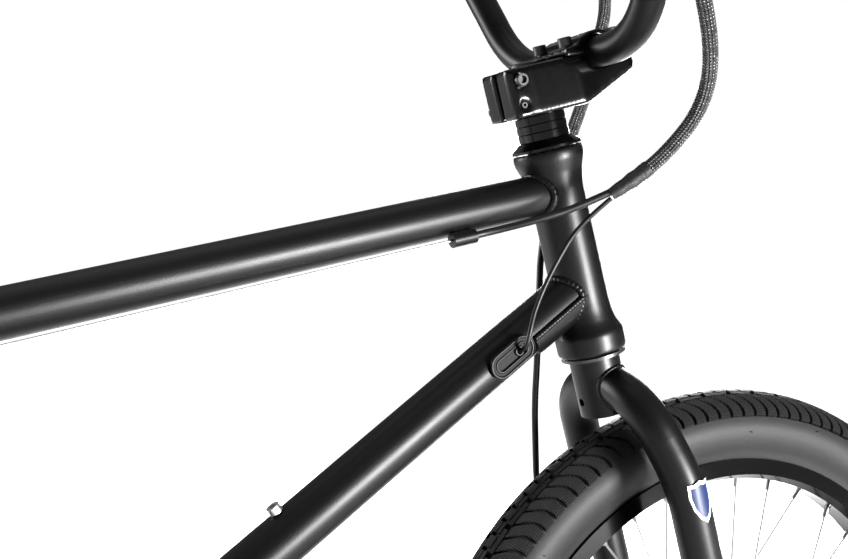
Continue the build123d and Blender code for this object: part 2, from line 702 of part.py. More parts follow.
# Top-load stem: the bar lies in the body and the cap closes it from above.
STEM_REAR = -29.5
STEM_FRONT = BAR_B + 28
EAR_HALF = 21.0
PINCH_B = -21.5
PINCH_A = (STEM_BASE + 9, STEM_BASE + 26)
CAP_BOLT_B = (BAR_B - 19.5, BAR_B + 19.5)
CAP_BOLT_C = 17.0
BOLT_R = 2.5
BOLT_HEAD_R = 4.3
CAP_SHOULDER = BAR_A + 8.5
with BuildPart() as bar_bore:
    rod(at_head(BAR_B, -60, BAR_A), at_head(BAR_B, 60, BAR_A), BAR_R + FIT)
with BuildPart() as stem_body:
    plate(
        head_plate(0),
        [
            (STEM_REAR, STEM_BASE),
            (BAR_B - 16, STEM_BASE),
            (STEM_FRONT - 2, STEM_BASE + 16.5),
            (STEM_FRONT, STEM_BASE + 19),
            (STEM_FRONT, BAR_A - 1.2),
            (BAR_B - 26.5, BAR_A - 1.2),
            (BAR_B - 26.5, STEM_TOP),
            (STEM_REAR, STEM_TOP),
        ],
        STEM_W,
    )
    with BuildSketch(HEAD.offset(STEM_BASE - 1)) as stem_plan:
        with BuildLine():
            Polyline(
                (STEM_REAR, -EAR_HALF),
                (PINCH_B + 9, -EAR_HALF),
                (BAR_B - 20, -STEM_W / 2),
                (STEM_FRONT, -STEM_W / 2),
                (STEM_FRONT, STEM_W / 2),
                (BAR_B - 20, STEM_W / 2),
                (PINCH_B + 9, EAR_HALF),
                (STEM_REAR, EAR_HALF),
                close=True,
            )
        make_face()
        fillet(stem_plan.vertices().group_by(Axis.X)[0], radius=5)
        fillet(stem_plan.vertices().group_by(Axis.X)[-1], radius=3)
    extrude(to_extrude=stem_plan.sketch, amount=60, mode=Mode.INTERSECT)
    rod(at_head(0, 0, STEM_BASE - 5), at_head(0, 0, STEM_TOP + 5), STEERER_R + FIT, mode=Mode.SUBTRACT)
    add(bar_bore.part, mode=Mode.SUBTRACT)
    with BuildSketch(HEAD.offset(STEM_BASE - 1)) as rear_slot:
        with Locations((STEM_REAR + 5, 0)):
            Rectangle(24, 3)
    extrude(to_extrude=rear_slot.sketch, amount=STEM_TOP - STEM_BASE + 2, mode=Mode.SUBTRACT)
    for height in PINCH_A:
        rod(
            at_head(PINCH_B, -40, height),
            at_head(PINCH_B, 40, height),
            BOLT_R + FIT,
            mode=Mode.SUBTRACT,
        )
    for fore in CAP_BOLT_B:
        for side in (-1, 1):
            low = at_head(fore, side * CAP_BOLT_C, STEM_BASE + 20)
            rod(low, low + HEAD_UP * 40, BOLT_R + FIT, mode=Mode.SUBTRACT)
stem_body.part.label = "stem_body"
export_step(stem_body.part, "parts/stem_body.step")

CAP_SEAT = CAP_SHOULDER - BAR_A - 1.5
with BuildPart() as stem_cap:
    plate(
        head_plate(0),
        [
            (BAR_B - 26, BAR_A + 1.2),
            (STEM_FRONT, BAR_A + 1.2),
            (STEM_FRONT, CAP_SHOULDER - 1.5),
            (BAR_B + 16, CAP_SHOULDER),
            (BAR_B + 10, BAR_A + 13.5),
            (BAR_B + 3, BAR_A + 15.6),
            (BAR_B - 5, BAR_A + 15.2),
            (BAR_B - 12, BAR_A + 12.5),
            (BAR_B - 15.5, CAP_SHOULDER),
            (BAR_B - 26, CAP_SHOULDER - 1.5),
        ],
        STEM_W,
    )
    add(bar_bore.part, mode=Mode.SUBTRACT)
    for fore in CAP_BOLT_B:
        for side in (-1, 1):
            low = at_head(fore, side * CAP_BOLT_C, BAR_A)
            rod(low, low + HEAD_UP * 40, BOLT_R + FIT, mode=Mode.SUBTRACT)
            rod(low + HEAD_UP * CAP_SEAT, low + HEAD_UP * 40, BOLT_HEAD_R + FIT, mode=Mode.SUBTRACT)
stem_cap.part.label = "stem_cap"
export_step(stem_cap.part, "parts/stem_cap.step")


def socket_bolt(seat, direction, shank, head_h=4.5):
    """Cap screw with its head on a seat point and its shank running against the direction."""
    rod(seat - direction * shank, seat, BOLT_R)
    rod(seat, seat + direction * head_h, BOLT_HEAD_R)
    with BuildSketch(Plane(origin=seat + direction * head_h, z_dir=direction)) as socket:
        RegularPolygon(2.4, 6)
    extrude(to_extrude=socket.sketch, amount=-head_h + 1.5, mode=Mode.SUBTRACT)


TOP_CAP_R = 13.5
with BuildPart() as stem_bolts:
    for fore in CAP_BOLT_B:
        for side in (-1, 1):
            socket_bolt(at_head(fore, side * CAP_BOLT_C, BAR_A + CAP_SEAT), HEAD_UP, 11 + CAP_SEAT)
    for side, height in zip((1, -1), PINCH_A):
        socket_bolt(at_head(PINCH_B, side * (EAR_HALF + FIT), height), LEFT * side, 2 * EAR_HALF - 3)
    rod(at_head(0, 0, STEM_TOP + FIT), at_head(0, 0, STEM_TOP + 3), TOP_CAP_R)
    rod(at_head(0, 0, STEM_TOP - 15), at_head(0, 0, STEM_TOP + FIT), BOLT_R)
stem_bolts.part.label = "stem_bolts"
export_step(stem_bolts.part, "parts/stem_bolts.step")

# Handlebar: one bent tube with a welded crossbar.
BAR_CORNER_C = 84.0
BAR_TOP_C = 182.0
BAR_TOP_B = BAR_B - 5
BAR_END = (BAR_B - 22, BAR_HALF, BAR_A + BAR_RISE + 4)
BAR_TOP = (BAR_TOP_B, BAR_TOP_C, BAR_A + BAR_RISE)
BAR_POINTS = [
    at_head(*BAR_END),
    at_head(*BAR_TOP),
    at_head(BAR_B, BAR_CORNER_C, BAR_A),
    at_head(BAR_B, -BAR_CORNER_C, BAR_A),
    at_head(BAR_TOP[0], -BAR_TOP[1], BAR_TOP[2]),
    at_head(BAR_END[0], -BAR_END[1], BAR_END[2]),
]
BAR_RADII = [50, 65, 65, 50]
with BuildPart() as bar_core:
    bent(BAR_POINTS, BAR_RADII, BAR_R)
with BuildPart() as handlebar:
    bent(BAR_POINTS, BAR_RADII, BAR_R, BAR_R - 1.8)
handlebar.part.label = "handlebar"
export_step(handlebar.part, "parts/handlebar.step")

CROSS_SHARE = 0.63         # how far up the uprights the crossbar meets them
CROSS_C = BAR_CORNER_C + (BAR_TOP_C - BAR_CORNER_C) * CROSS_SHARE
CROSS_B = BAR_B + (BAR_TOP_B - BAR_B) * CROSS_SHARE
CROSS_A = BAR_A + BAR_RISE * CROSS_SHARE
with BuildPart() as crossbar:
    rod(at_head(CROSS_B, -CROSS_C, CROSS_A), at_head(CROSS_B, CROSS_C, CROSS_A), CROSSBAR_R, CROSSBAR_R - 1.4)
    add(bar_core.part, mode=Mode.SUBTRACT)
crossbar.part.label = "crossbar"
export_step(crossbar.part, "parts/crossbar.step")


def grip_frame(side):
    """End of the bar and the direction from it towards the middle."""
    end = at_head(BAR_END[0], side * BAR_END[1], BAR_END[2])
    top = at_head(BAR_TOP[0], side * BAR_TOP[1], BAR_TOP[2])
    return end, (top - end).normalized()


with BuildPart() as grips:
    for side in (-1, 1):
        end, inward = grip_frame(side)
        rod(end, end + inward * GRIP_L, GRIP_R, BAR_R + FIT)
        rod(end + inward * (GRIP_L - 4), end + inward * GRIP_L, GRIP_R + 6, BAR_R + FIT)
grips.part.label = "grips"
export_step(grips.part, "parts/grips.step")

with BuildPart() as bar_plugs:
    for side in (-1, 1):
        end, inward = grip_frame(side)
        rod(end - inward * 4, end - inward * FIT, GRIP_R)
        rod(end - inward * FIT, end + inward * 16, BAR_R - 1.8 - FIT)
bar_plugs.part.label = "bar_plugs"
export_step(bar_plugs.part, "parts/bar_plugs.step")

# Brake levers: a clamp with two ears and a blade between them.
LEVER_S = GRIP_L + 14
LEVER_DROP = 30.0
PIVOT_X = 8.0
PIVOT_Y = 33.0
PIVOT_R = 2.5
EAR_IN = 4.3
EAR_OUT = 8.0


def lever_frame(side):
    """Plane on the bar at the lever: local x outwards, local y forward and down."""
    end, inward = grip_frame(side)
    place = end + inward * LEVER_S
    outward = inward * -1
    drop = math.radians(LEVER_DROP)
    reach = FORE * math.cos(drop) - HEAD_UP * math.sin(drop)
    reach = (reach - outward * reach.dot(outward)).normalized()
    return Plane(origin=place, x_dir=outward, z_dir=outward.cross(reach))


with BuildPart() as lever_clamps:
    for side in (-1, 1):
        frame = lever_frame(side)
        rod(frame.origin - frame.x_dir * 9, frame.origin + frame.x_dir * 9, BAR_R + 4)
        plate(
            frame,
            [(-9, 10), (9, 10), (12, 23.5), (20, 26), (18, 40), (4, 42), (-14, 38), (-22, 32), (-22, 25)],
            EAR_OUT * 2,
            round_r=2,
        )
        with BuildSketch(frame) as ear_gap:
            with Locations((12, 43)):
                Rectangle(40, 35)
        extrude(to_extrude=ear_gap.sketch, amount=EAR_IN, both=True, mode=Mode.SUBTRACT)
        pivot = frame.from_local_coords(V(PIVOT_X, PIVOT_Y, 0))
        rod(pivot - frame.z_dir * EAR_OUT, pivot + frame.z_dir * EAR_OUT, PIVOT_R)
        barrel = frame.from_local_coords(V(-21, 29, 0))
        rod(barrel, barrel - frame.x_dir * 15, 4.2, CABLE_R + FIT)
        rod(
            frame.origin - frame.x_dir * 12,
            frame.origin + frame.x_dir * 12,
            BAR_R + FIT,
            mode=Mode.SUBTRACT,
        )
lever_clamps.part.label = "lever_clamps"
export_step(lever_clamps.part, "parts/lever_clamps.step")

LEVER_NAMES = {1: "brake_lever_left", -1: "brake_lever_right"}
for side, name in LEVER_NAMES.items():
    frame = lever_frame(side)
    with BuildPart() as brake_lever:
        plate(
            frame,
            [
                (3, 27.8),
                (12, 27.6),
                (34, 36),
                (104, 44),
                (116, 42),
                (120, 48),
                (112, 54),
                (34, 47),
                (14, 39),
                (3, 38),
            ],
            (EAR_IN - 0.3) * 2,
            round_r=2.4,
            holes=[(PIVOT_X, PIVOT_Y, PIVOT_R + RUN)],
        )
    brake_lever.part.label = name
    export_step(brake_lever.part, f"parts/{name}.step")

# ==================== wheels ====================

# Everything about a wheel is drawn round its axle, with +Z to the rider's left.
ORIGIN = V(0, 0, 0)
UP = V(0, 0, 1)
SECTION_R = TYRE_W / 2
CASING = 3.5
CROWN_CENTRE = WHEEL_R - SECTION_R
RIM_FLANGE = BEAD_R + 6
RIM_INNER = BEAD_R - RIM_HEIGHT
BEAD_HALF = RIM_W / 2 - 2.2
NIPPLE_R = 2.2
CROSS_TURN = 60.0          # degrees between a spoke's hub hole and its rim hole
PAIRS = SPOKES // 4
FLANGE_T = 3.2
ELBOW_R = 2.4              # bend of a spoke where it leaves the flange
NIPPLE_SEAT = 2.2          # nipple head above the middle of the rim's inner wall

WHEELS = {
    "front": {
        "plane": Plane(origin=FRONT_AXLE, x_dir=FORE, z_dir=LEFT),
        "flanges": (-29.6, 25.6),
        "shell": (-48.0, 48.0),
        "axle": FRONT_AXLE_R,
        "disc_seat": (36.0, 40.0),
    },
    "rear": {
        "plane": Plane(origin=REAR_AXLE, x_dir=(1, 0, 0), z_dir=(0, 1, 0)),
        "flanges": (-34.4, 31.6),
        "shell": (-39.5, 53.0),
        "axle": REAR_AXLE_R,
        "disc_seat": None,
    },
}


def polar(radius, angle, height):
    """Point round the Z axis."""
    turn = math.radians(angle)
    return V(radius * math.cos(turn), radius * math.sin(turn), height)


def spoke_ends(flange, start, turn):
    """Elbow beside the flange, and the point where the spoke meets the rim's inner wall."""
    outside = math.copysign(1, flange) if turn > 0 else -math.copysign(1, flange)
    elbow = polar(FLANGE_R, start, flange + outside * (FLANGE_T / 2 + ELBOW_R + 0.2))
    rim_point = polar(RIM_INNER + 1, start + turn, 0)
    head = polar(FLANGE_R, start, flange - outside * (FLANGE_T / 2))
    return head, elbow, rim_point, outside


def spoke_set(flanges):
    """The four different spokes of a wheel, each repeated round the hub."""
    found = []
    for index, flange in enumerate(flanges):
        for turn, start in ((CROSS_TURN, 0.0), (-CROSS_TURN, 360.0 / SPOKES * 2)):
            found.append(spoke_ends(flange, start + index * 360.0 / SPOKES, turn))
    return found


for wheel, spec in WHEELS.items():
    place = spec["plane"]
    axle_dir = place.z_dir
    hub_point = place.origin

    with BuildPart() as tyre:
        profile = Plane(origin=hub_point, x_dir=place.x_dir, z_dir=place.x_dir.cross(axle_dir))
        with BuildSketch(profile) as tyre_section:
            with Locations((CROWN_CENTRE, 0)):
                Circle(SECTION_R)
            with Locations((CROWN_CENTRE, 0)):
                Circle(SECTION_R - CASING, mode=Mode.SUBTRACT)
            with Locations((RIM_FLANGE - 15 + 0.2, 0)):
                Rectangle(30, RIM_W * 2, mode=Mode.SUBTRACT)
            for side in (-1, 1):
                with Locations(((BEAD_R + RIM_FLANGE) / 2 + 1, side * (BEAD_HALF - 2.2))):
                    Rectangle(RIM_FLANGE - BEAD_R + 2 - 2 * FIT, 4)
        revolve(profiles=tyre_section.sketch, axis=Axis(hub_point, axle_dir))
    tyre.part.label = f"{wheel}_tyre"
    export_step(tyre.part, f"parts/{wheel}_tyre.step")

    with BuildPart() as spoke_shapes:
        for head, elbow, rim_point, outside in spoke_set(spec["flanges"]):
            along = (rim_point - elbow).normalized()
            bent([head, elbow, rim_point + along * NIPPLE_SEAT], [ELBOW_R], SPOKE_R)
            rod(head, head - UP * outside * 1.0, 1.9)
    with BuildPart() as nipple_shapes:
        for head, elbow, rim_point, outside in spoke_set(spec["flanges"]):
            along = (rim_point - elbow).normalized()
            rod(rim_point - along * 10, rim_point + along * NIPPLE_SEAT, NIPPLE_R)
            rod(rim_point + along * NIPPLE_SEAT, rim_point + along * 3.9, NIPPLE_R + 0.8)
    with BuildPart() as spoke_cutters:
        for head, elbow, rim_point, outside in spoke_set(spec["flanges"]):
            along = (rim_point - elbow).normalized()
            rod(rim_point - along * 6, rim_point + along * 3, NIPPLE_R + 0.15)
    with BuildPart() as flange_cutters:
        for flange in spec["flanges"]:
            for start in (0.0, 360.0 / SPOKES * 2):
                offset = spec["flanges"].index(flange) * 360.0 / SPOKES
                hole = polar(FLANGE_R, start + offset, flange)
                rod(hole - UP * 4, hole + UP * 4, SPOKE_R + 0.15)

    with BuildPart() as bored_nipples:
        add(nipple_shapes.part, clean=False)
        add(spoke_shapes.part, clean=False, mode=Mode.SUBTRACT)
    with BuildPart(place) as spokes:
        with PolarLocations(0, PAIRS):
            add(spoke_shapes.part.solids() + bored_nipples.part.solids(), clean=False)
    spokes.part.label = f"{wheel}_spokes"
    export_step(spokes.part, f"parts/{wheel}_spokes.step")

    half = RIM_W / 2
    with BuildPart(place) as rim:
        spin(
            hub_point,
            axle_dir,
            [
                (RIM_INNER, -11),
                (RIM_INNER, 11),
                (RIM_INNER + 4, half),
                (RIM_FLANGE, half),
                (RIM_FLANGE, BEAD_HALF),
                (BEAD_R, BEAD_HALF),
                (BEAD_R, 8),
                (BEAD_R - 2.5, 6),
                (BEAD_R - 2.5, -6),
                (BEAD_R, -8),
                (BEAD_R, -BEAD_HALF),
                (RIM_FLANGE, -BEAD_HALF),
                (RIM_FLANGE, -half),
                (RIM_INNER + 4, -half),
            ],
        )
        spin(
            hub_point,
            axle_dir,
            [
                (RIM_INNER + 2, -10),
                (RIM_INNER + 2, 10),
                (RIM_INNER + 5, half - 2),
                (BEAD_R - 1.8, half - 2),
                (BEAD_R - 4.3, 7),
                (BEAD_R - 4.3, -7),
                (BEAD_R - 1.8, -half + 2),
                (RIM_INNER + 5, -half + 2),
            ],
            mode=Mode.SUBTRACT,
        )
        with PolarLocations(0, PAIRS):
            add(spoke_cutters.part, mode=Mode.SUBTRACT)
    rim.part.label = f"{wheel}_rim"
    export_step(rim.part, f"parts/{wheel}_rim.step")

    low, high = spec["shell"]
    right_flange, left_flange = spec["flanges"]
    hub_r = spec["axle"] + 7
    outline = [
        (spec["axle"] + RUN, low),
        (hub_r, low),
        (hub_r, right_flange - FLANGE_T / 2 - 2),
        (hub_r + 3, right_flange - FLANGE_T / 2),
        (FLANGE_R + 4, right_flange - FLANGE_T / 2),
        (FLANGE_R + 4, right_flange + FLANGE_T / 2),
        (hub_r + 4, right_flange + FLANGE_T / 2),
        (hub_r + 2, right_flange + FLANGE_T / 2 + 3),
        (hub_r + 2, left_flange - FLANGE_T / 2 - 3),
        (hub_r + 4, left_flange - FLANGE_T / 2),
        (FLANGE_R + 4, left_flange - FLANGE_T / 2),
        (FLANGE_R + 4, left_flange + FLANGE_T / 2),
        (hub_r + 3, left_flange + FLANGE_T / 2),
        (hub_r, left_flange + FLANGE_T / 2 + 2),
    ]
    if spec["disc_seat"]:
        seat_low, seat_high = spec["disc_seat"]
        seat_r = FLANGE_R - 5
        outline += [(hub_r, seat_low), (seat_r, seat_low), (seat_r, seat_high), (hub_r, seat_high)]
    outline += [(hub_r, high), (spec["axle"] + RUN, high)]
    with BuildPart(place) as hub:
        spin(hub_point, axle_dir, outline)
        with PolarLocations(0, PAIRS):
            add(flange_cutters.part, mode=Mode.SUBTRACT)
    hub.part.label = f"{wheel}_hub"
    export_step(hub.part, f"parts/{wheel}_hub.step")


def axle_set(centre, direction, radius, shoulders, plate_outer, reach, nut_r):
    """Fixed axle with its spacers inside the plates and a nut outside each."""
    rod(centre - direction * reach, centre + direction * reach, radius)
    for inner, outer in shoulders:
        rod(centre + direction * inner, centre + direction * outer, radius + 5)
    for side in (-1, 1):
        seat = centre + direction * side * (plate_outer + FIT)
        rod(seat, seat + direction * side * 2, nut_r + 2)
        with BuildSketch(Plane(origin=seat, z_dir=direction * side)) as nut:
            RegularPolygon(nut_r, 6)
        extrude(to_extrude=nut.sketch, amount=12)


NUT_OUT = 12.0
THREAD_OUT = 9.0
FRONT_REACH = FRONT_OLD / 2 + PLATE + NUT_OUT + THREAD_OUT
REAR_REACH = REAR_OLD / 2 + PLATE + NUT_OUT + THREAD_OUT
with BuildPart() as front_axle:
    shell_low, shell_high = WHEELS["front"]["shell"]
    gaps = [(-FRONT_OLD / 2 + FIT, shell_low - 0.1), (shell_high + 0.1, FRONT_OLD / 2 - FIT)]
    axle_set(FRONT_AXLE, LEFT, FRONT_AXLE_R, gaps, FRONT_OLD / 2 + PLATE, FRONT_REACH, 8.5)
front_axle.part.label = "front_axle"
export_step(front_axle.part, "parts/front_axle.step")

COG_HALF = 1.2
DRIVER_IN = -39.9
DRIVER_OUT = -52.0
with BuildPart() as rear_axle:
    right_gap = (-REAR_OLD / 2 + FIT, DRIVER_OUT - 0.1)
    left_gap = (WHEELS["rear"]["shell"][1] + 0.1, REAR_OLD / 2 - FIT)
    axle_set(
        REAR_AXLE,
        Y_AXIS,
        REAR_AXLE_R,
        [right_gap, left_gap],
        REAR_OLD / 2 + PLATE,
        REAR_REACH,
        10.5,
    )
rear_axle.part.label = "rear_axle"
export_step(rear_axle.part, "parts/rear_axle.step")

# ==================== front disc brake ====================

ROTOR_T = 1.8
ROTOR_LOW = WHEELS["front"]["disc_seat"][1]
ROTOR_MID = ROTOR_LOW + ROTOR_T / 2
SPIDER_L = ROTOR_R - 34
SPIDER_MID = ROTOR_R - 15 - SPIDER_L / 2
with BuildPart(WHEELS["front"]["plane"].offset(ROTOR_MID)) as front_rotor:
    Cylinder(ROTOR_R, ROTOR_T)
    Cylinder(ROTOR_R - 17, ROTOR_T * 2, mode=Mode.SUBTRACT)
    with PolarLocations(SPIDER_MID, 6):
        Box(SPIDER_L, 7, ROTOR_T)
    Cylinder(FLANGE_R - 4, ROTOR_T)
    Cylinder(WHEELS["front"]["axle"] + 7 + FIT, ROTOR_T * 2, mode=Mode.SUBTRACT)
    with PolarLocations(ROTOR_R - 6, 18):
        Cylinder(2.6, ROTOR_T * 2, mode=Mode.SUBTRACT)
    with PolarLocations(ROTOR_R - 12, 18, start_angle=10):
        Cylinder(2.0, ROTOR_T * 2, mode=Mode.SUBTRACT)
front_rotor.part.label = "front_rotor"
export_step(front_rotor.part, "parts/front_rotor.step")

CALIPER_IN = 33.0
CALIPER_OUT = FRONT_OLD / 2 - FIT
with BuildPart() as front_caliper:
    plate(
        head_plate((CALIPER_IN + CALIPER_OUT) / 2),
        [
            (CALIPER_B - 16, CALIPER_A - 14),
            (CALIPER_B + 16, CALIPER_A - 18),
            (CALIPER_B + 18, CALIPER_A + 20),
            (CALIPER_B - 6, CALIPER_A + 32),
            (CALIPER_B - 17, CALIPER_A + 20),
        ],
        CALIPER_OUT - CALIPER_IN,
        round_r=4,
    )
    disc_centre = FRONT_AXLE + LEFT * ROTOR_MID
    rod(disc_centre - LEFT * 1.6, disc_centre + LEFT * 1.6, ROTOR_R + 2, mode=Mode.SUBTRACT)
    rod(
        at_head(CALIPER_B, CALIPER_OUT - 5, CALIPER_A),
        at_head(CALIPER_B, CALIPER_OUT + 1, CALIPER_A),
        ARM_PIVOT_R + RUN,
        mode=Mode.SUBTRACT,
    )
front_caliper.part.label = "front_caliper"
export_step(front_caliper.part, "parts/front_caliper.step")

ARM_IN = FRONT_OLD / 2 + PLATE + 0.6
ARM_T = 3.0
CLAMP_B = CALIPER_B - 22
CLAMP_A = CALIPER_A + 26
with BuildPart() as front_brake_arm:
    rod(
        at_head(CALIPER_B, CALIPER_OUT - 4.8, CALIPER_A),
        at_head(CALIPER_B, ARM_IN + ARM_T, CALIPER_A),
        ARM_PIVOT_R,
    )
    with BuildSketch(head_plate(ARM_IN + ARM_T / 2)) as arm_plan:
        with Locations((CALIPER_B, CALIPER_A)):
            Circle(8)
        with Locations((CLAMP_B, CLAMP_A)):
            Circle(5)
        make_hull()
    extrude(to_extrude=arm_plan.sketch, amount=ARM_T / 2, both=True)
front_brake_arm.part.label = "front_brake_arm"
export_step(front_brake_arm.part, "parts/front_brake_arm.step")

# ==================== rear rim brake ====================

ARM_MID = SEATSTAY_R + BOSS_L / 2 + 1.5
ARM_THICK = 13.0
BRAKE_ARM_L = 100.0
PAD_L = 50.0
BRAKE_NAMES = {1: "rear_brake_arm_left", -1: "rear_brake_arm_right"}
for side, name in BRAKE_NAMES.items():
    root = BOSS_ROOTS[side] + BOSS_DIR * ARM_MID
    arm_plane = Plane(origin=root, x_dir=Y_AXIS * side, z_dir=(Y_AXIS * side).cross(RUN_UP))
    from_axle = V(root.X - REAR_AXLE.X, 0, root.Z - REAR_AXLE.Z)
    lift = from_axle.dot(RUN_UP)
    pad_up = math.sqrt(lift**2 - from_axle.length**2 + (BEAD_R - 1) ** 2) - lift
    pad_x = RIM_W / 2 + PAD_GAP - abs(root.Y)
    with BuildPart() as brake_arm:
        plate(
            arm_plane,
            [
                (-9, -9),
                (9, -9),
                (9, 8),
                (7, 50),
                (3, BRAKE_ARM_L),
                (-6, BRAKE_ARM_L),
                (-6, 50),
                (-9, 14),
            ],
            ARM_THICK,
            round_r=2,
        )
        boss_low = BOSS_ROOTS[side] + BOSS_DIR * (SEATSTAY_R - 1)
        rod(boss_low, boss_low + BOSS_DIR * (BOSS_L + 20), BOSS_R + RUN, mode=Mode.SUBTRACT)
        pad_mid = arm_plane.from_local_coords(V(pad_x + 4.5, pad_up, 0))
        arm_face = arm_plane.from_local_coords(V(-4, pad_up, 0))
        rod(pad_mid, arm_face, 3)
        with BuildSketch(Plane(origin=pad_mid, x_dir=BOSS_DIR, z_dir=Y_AXIS * side)) as shoe:
            SlotOverall(PAD_L, 10)
        extrude(to_extrude=shoe.sketch, amount=4.5, both=True)
    brake_arm.part.label = name
    export_step(brake_arm.part, f"parts/{name}.step")

# ==================== drive ====================


def pitch_radius(teeth):
    """Pitch circle of a chain wheel."""
    return CHAIN_PITCH / (2 * math.sin(math.pi / teeth))


def tooth_ring(centre, teeth, start):
    """Chain wheel outline: a disc with one roller seat per tooth."""
    with Locations((centre.X, centre.Z)):
        Circle(pitch_radius(teeth) + 2.6)
        with PolarLocations(pitch_radius(teeth), teeth, start_angle=start):
            Circle(4.0, mode=Mode.SUBTRACT)


SPROCKET_R = pitch_radius(SPROCKET_TEETH)
COG_R = pitch_radius(COG_TEETH)
CHAIN_PLANE = side_plane(-CHAINLINE)
with BuildPart() as sprocket:
    with BuildSketch(CHAIN_PLANE) as sprocket_plan:
        tooth_ring(BB, SPROCKET_TEETH, 0)
        with Locations((BB.X, BB.Z)):
            with PolarLocations(33, 5, start_angle=36):
                Circle(8.5, mode=Mode.SUBTRACT)
            Circle(SPINDLE_R + FIT, mode=Mode.SUBTRACT)
    extrude(to_extrude=sprocket_plan.sketch, amount=1.5, both=True)
    boss_in = BB - Y_AXIS * (CHAINLINE + 1.4)
    rod(boss_in, BB - Y_AXIS * (CRANK_INNER - FIT), 19, SPINDLE_R + FIT)
sprocket.part.label = "sprocket"
export_step(sprocket.part, "parts/sprocket.step")

with BuildPart() as rear_cog:
    with BuildSketch(CHAIN_PLANE) as cog_plan:
        tooth_ring(REAR_AXLE, COG_TEETH, 0)
    extrude(to_extrude=cog_plan.sketch, amount=COG_HALF, both=True)
    rod(REAR_AXLE + Y_AXIS * DRIVER_OUT, REAR_AXLE + Y_AXIS * DRIVER_IN, 13.5)
    rod(REAR_AXLE - Y_AXIS * 60, REAR_AXLE, REAR_AXLE_R + RUN, mode=Mode.SUBTRACT)
rear_cog.part.label = "rear_cog"
export_step(rear_cog.part, "parts/rear_cog.step")

# Chain: two rows of side plates joined by an outer band, hollow where the teeth run.
CHAIN_HALF_W = 4.7
CHAIN_HALF_H = 4.2
TOOTH_ROOM = 2.0


def chain_loop(offset):
    """Racetrack round both chain wheels at an offset from the pitch line."""
    with Locations((BB.X, BB.Z)):
        Circle(SPROCKET_R + offset)
    with Locations((REAR_AXLE.X, REAR_AXLE.Z)):
        Circle(COG_R + offset)
    make_hull()


with BuildPart() as chain:
    with BuildSketch(CHAIN_PLANE) as chain_outer:
        chain_loop(CHAIN_HALF_H)
    extrude(to_extrude=chain_outer.sketch, amount=CHAIN_HALF_W, both=True)
    with BuildSketch(CHAIN_PLANE) as chain_inner:
        chain_loop(-CHAIN_HALF_H)
    extrude(to_extrude=chain_inner.sketch, amount=CHAIN_HALF_W, both=True, mode=Mode.SUBTRACT)
    with BuildSketch(CHAIN_PLANE) as chain_groove:
        chain_loop(CHAIN_HALF_H - 1.2)
    extrude(to_extrude=chain_groove.sketch, amount=TOOTH_ROOM, both=True, mode=Mode.SUBTRACT)
chain.part.label = "chain"
export_step(chain.part, "parts/chain.step")

PEDAL_SHAFT_R = 5.0
PEDAL_THREAD_R = 7.0
PEDAL_L = 100.0
PEDAL_W = 96.0
PEDAL_IN = CRANK_INNER + CRANK_THICK + 6
CRANK_ENDS = {side: BB + V(-side * CRANK_L, 0, 0) for side in (-1, 1)}
with BuildPart() as crank_arms:
    for side in (-1, 1):
        with BuildSketch(side_plane(side * (CRANK_INNER + CRANK_THICK / 2))) as arm_outline:
            with Locations((BB.X, BB.Z)):
                Circle(17)
            with Locations((CRANK_ENDS[side].X, CRANK_ENDS[side].Z)):
                Circle(12.5)
            make_hull()
            with Locations((BB.X, BB.Z)):
                Circle(SPINDLE_R + FIT, mode=Mode.SUBTRACT)
            with Locations((CRANK_ENDS[side].X, CRANK_ENDS[side].Z)):
                Circle(PEDAL_THREAD_R + FIT, mode=Mode.SUBTRACT)
        extrude(to_extrude=arm_outline.sketch, amount=CRANK_THICK / 2, both=True)
crank_arms.part.label = "crank_arms"
export_step(crank_arms.part, "parts/crank_arms.step")

with BuildPart() as crank_spindles:
    spindle_end = CRANK_INNER + CRANK_THICK + 1
    shell_end = BB_SHELL_W / 2 + 0.2
    left_collar = CRANK_INNER - FIT
    right_collar = CHAINLINE - 1.5 - FIT
    rod(BB - Y_AXIS * spindle_end, BB + Y_AXIS * spindle_end, SPINDLE_R, 4)
    rod(BB + Y_AXIS * shell_end, BB + Y_AXIS * left_collar, SPINDLE_R + 3.5, SPINDLE_R - 1)
    rod(BB - Y_AXIS * shell_end, BB - Y_AXIS * right_collar, SPINDLE_R + 3.5, SPINDLE_R - 1)
    for side in (-1, 1):
        end = CRANK_ENDS[side]
        rod(end + Y_AXIS * side * (CRANK_INNER + 1), end + Y_AXIS * side * (PEDAL_IN - 1), PEDAL_THREAD_R)
        arm_face = end + Y_AXIS * side * (CRANK_INNER + CRANK_THICK + FIT)
        rod(arm_face, arm_face + Y_AXIS * side * 3, PEDAL_THREAD_R + 2)
        shaft_end = PEDAL_IN + PEDAL_W - 4
        rod(end + Y_AXIS * side * (PEDAL_IN - 2), end + Y_AXIS * side * shaft_end, PEDAL_SHAFT_R)
crank_spindles.part.label = "crank_spindles"
export_step(crank_spindles.part, "parts/crank_spindles.step")

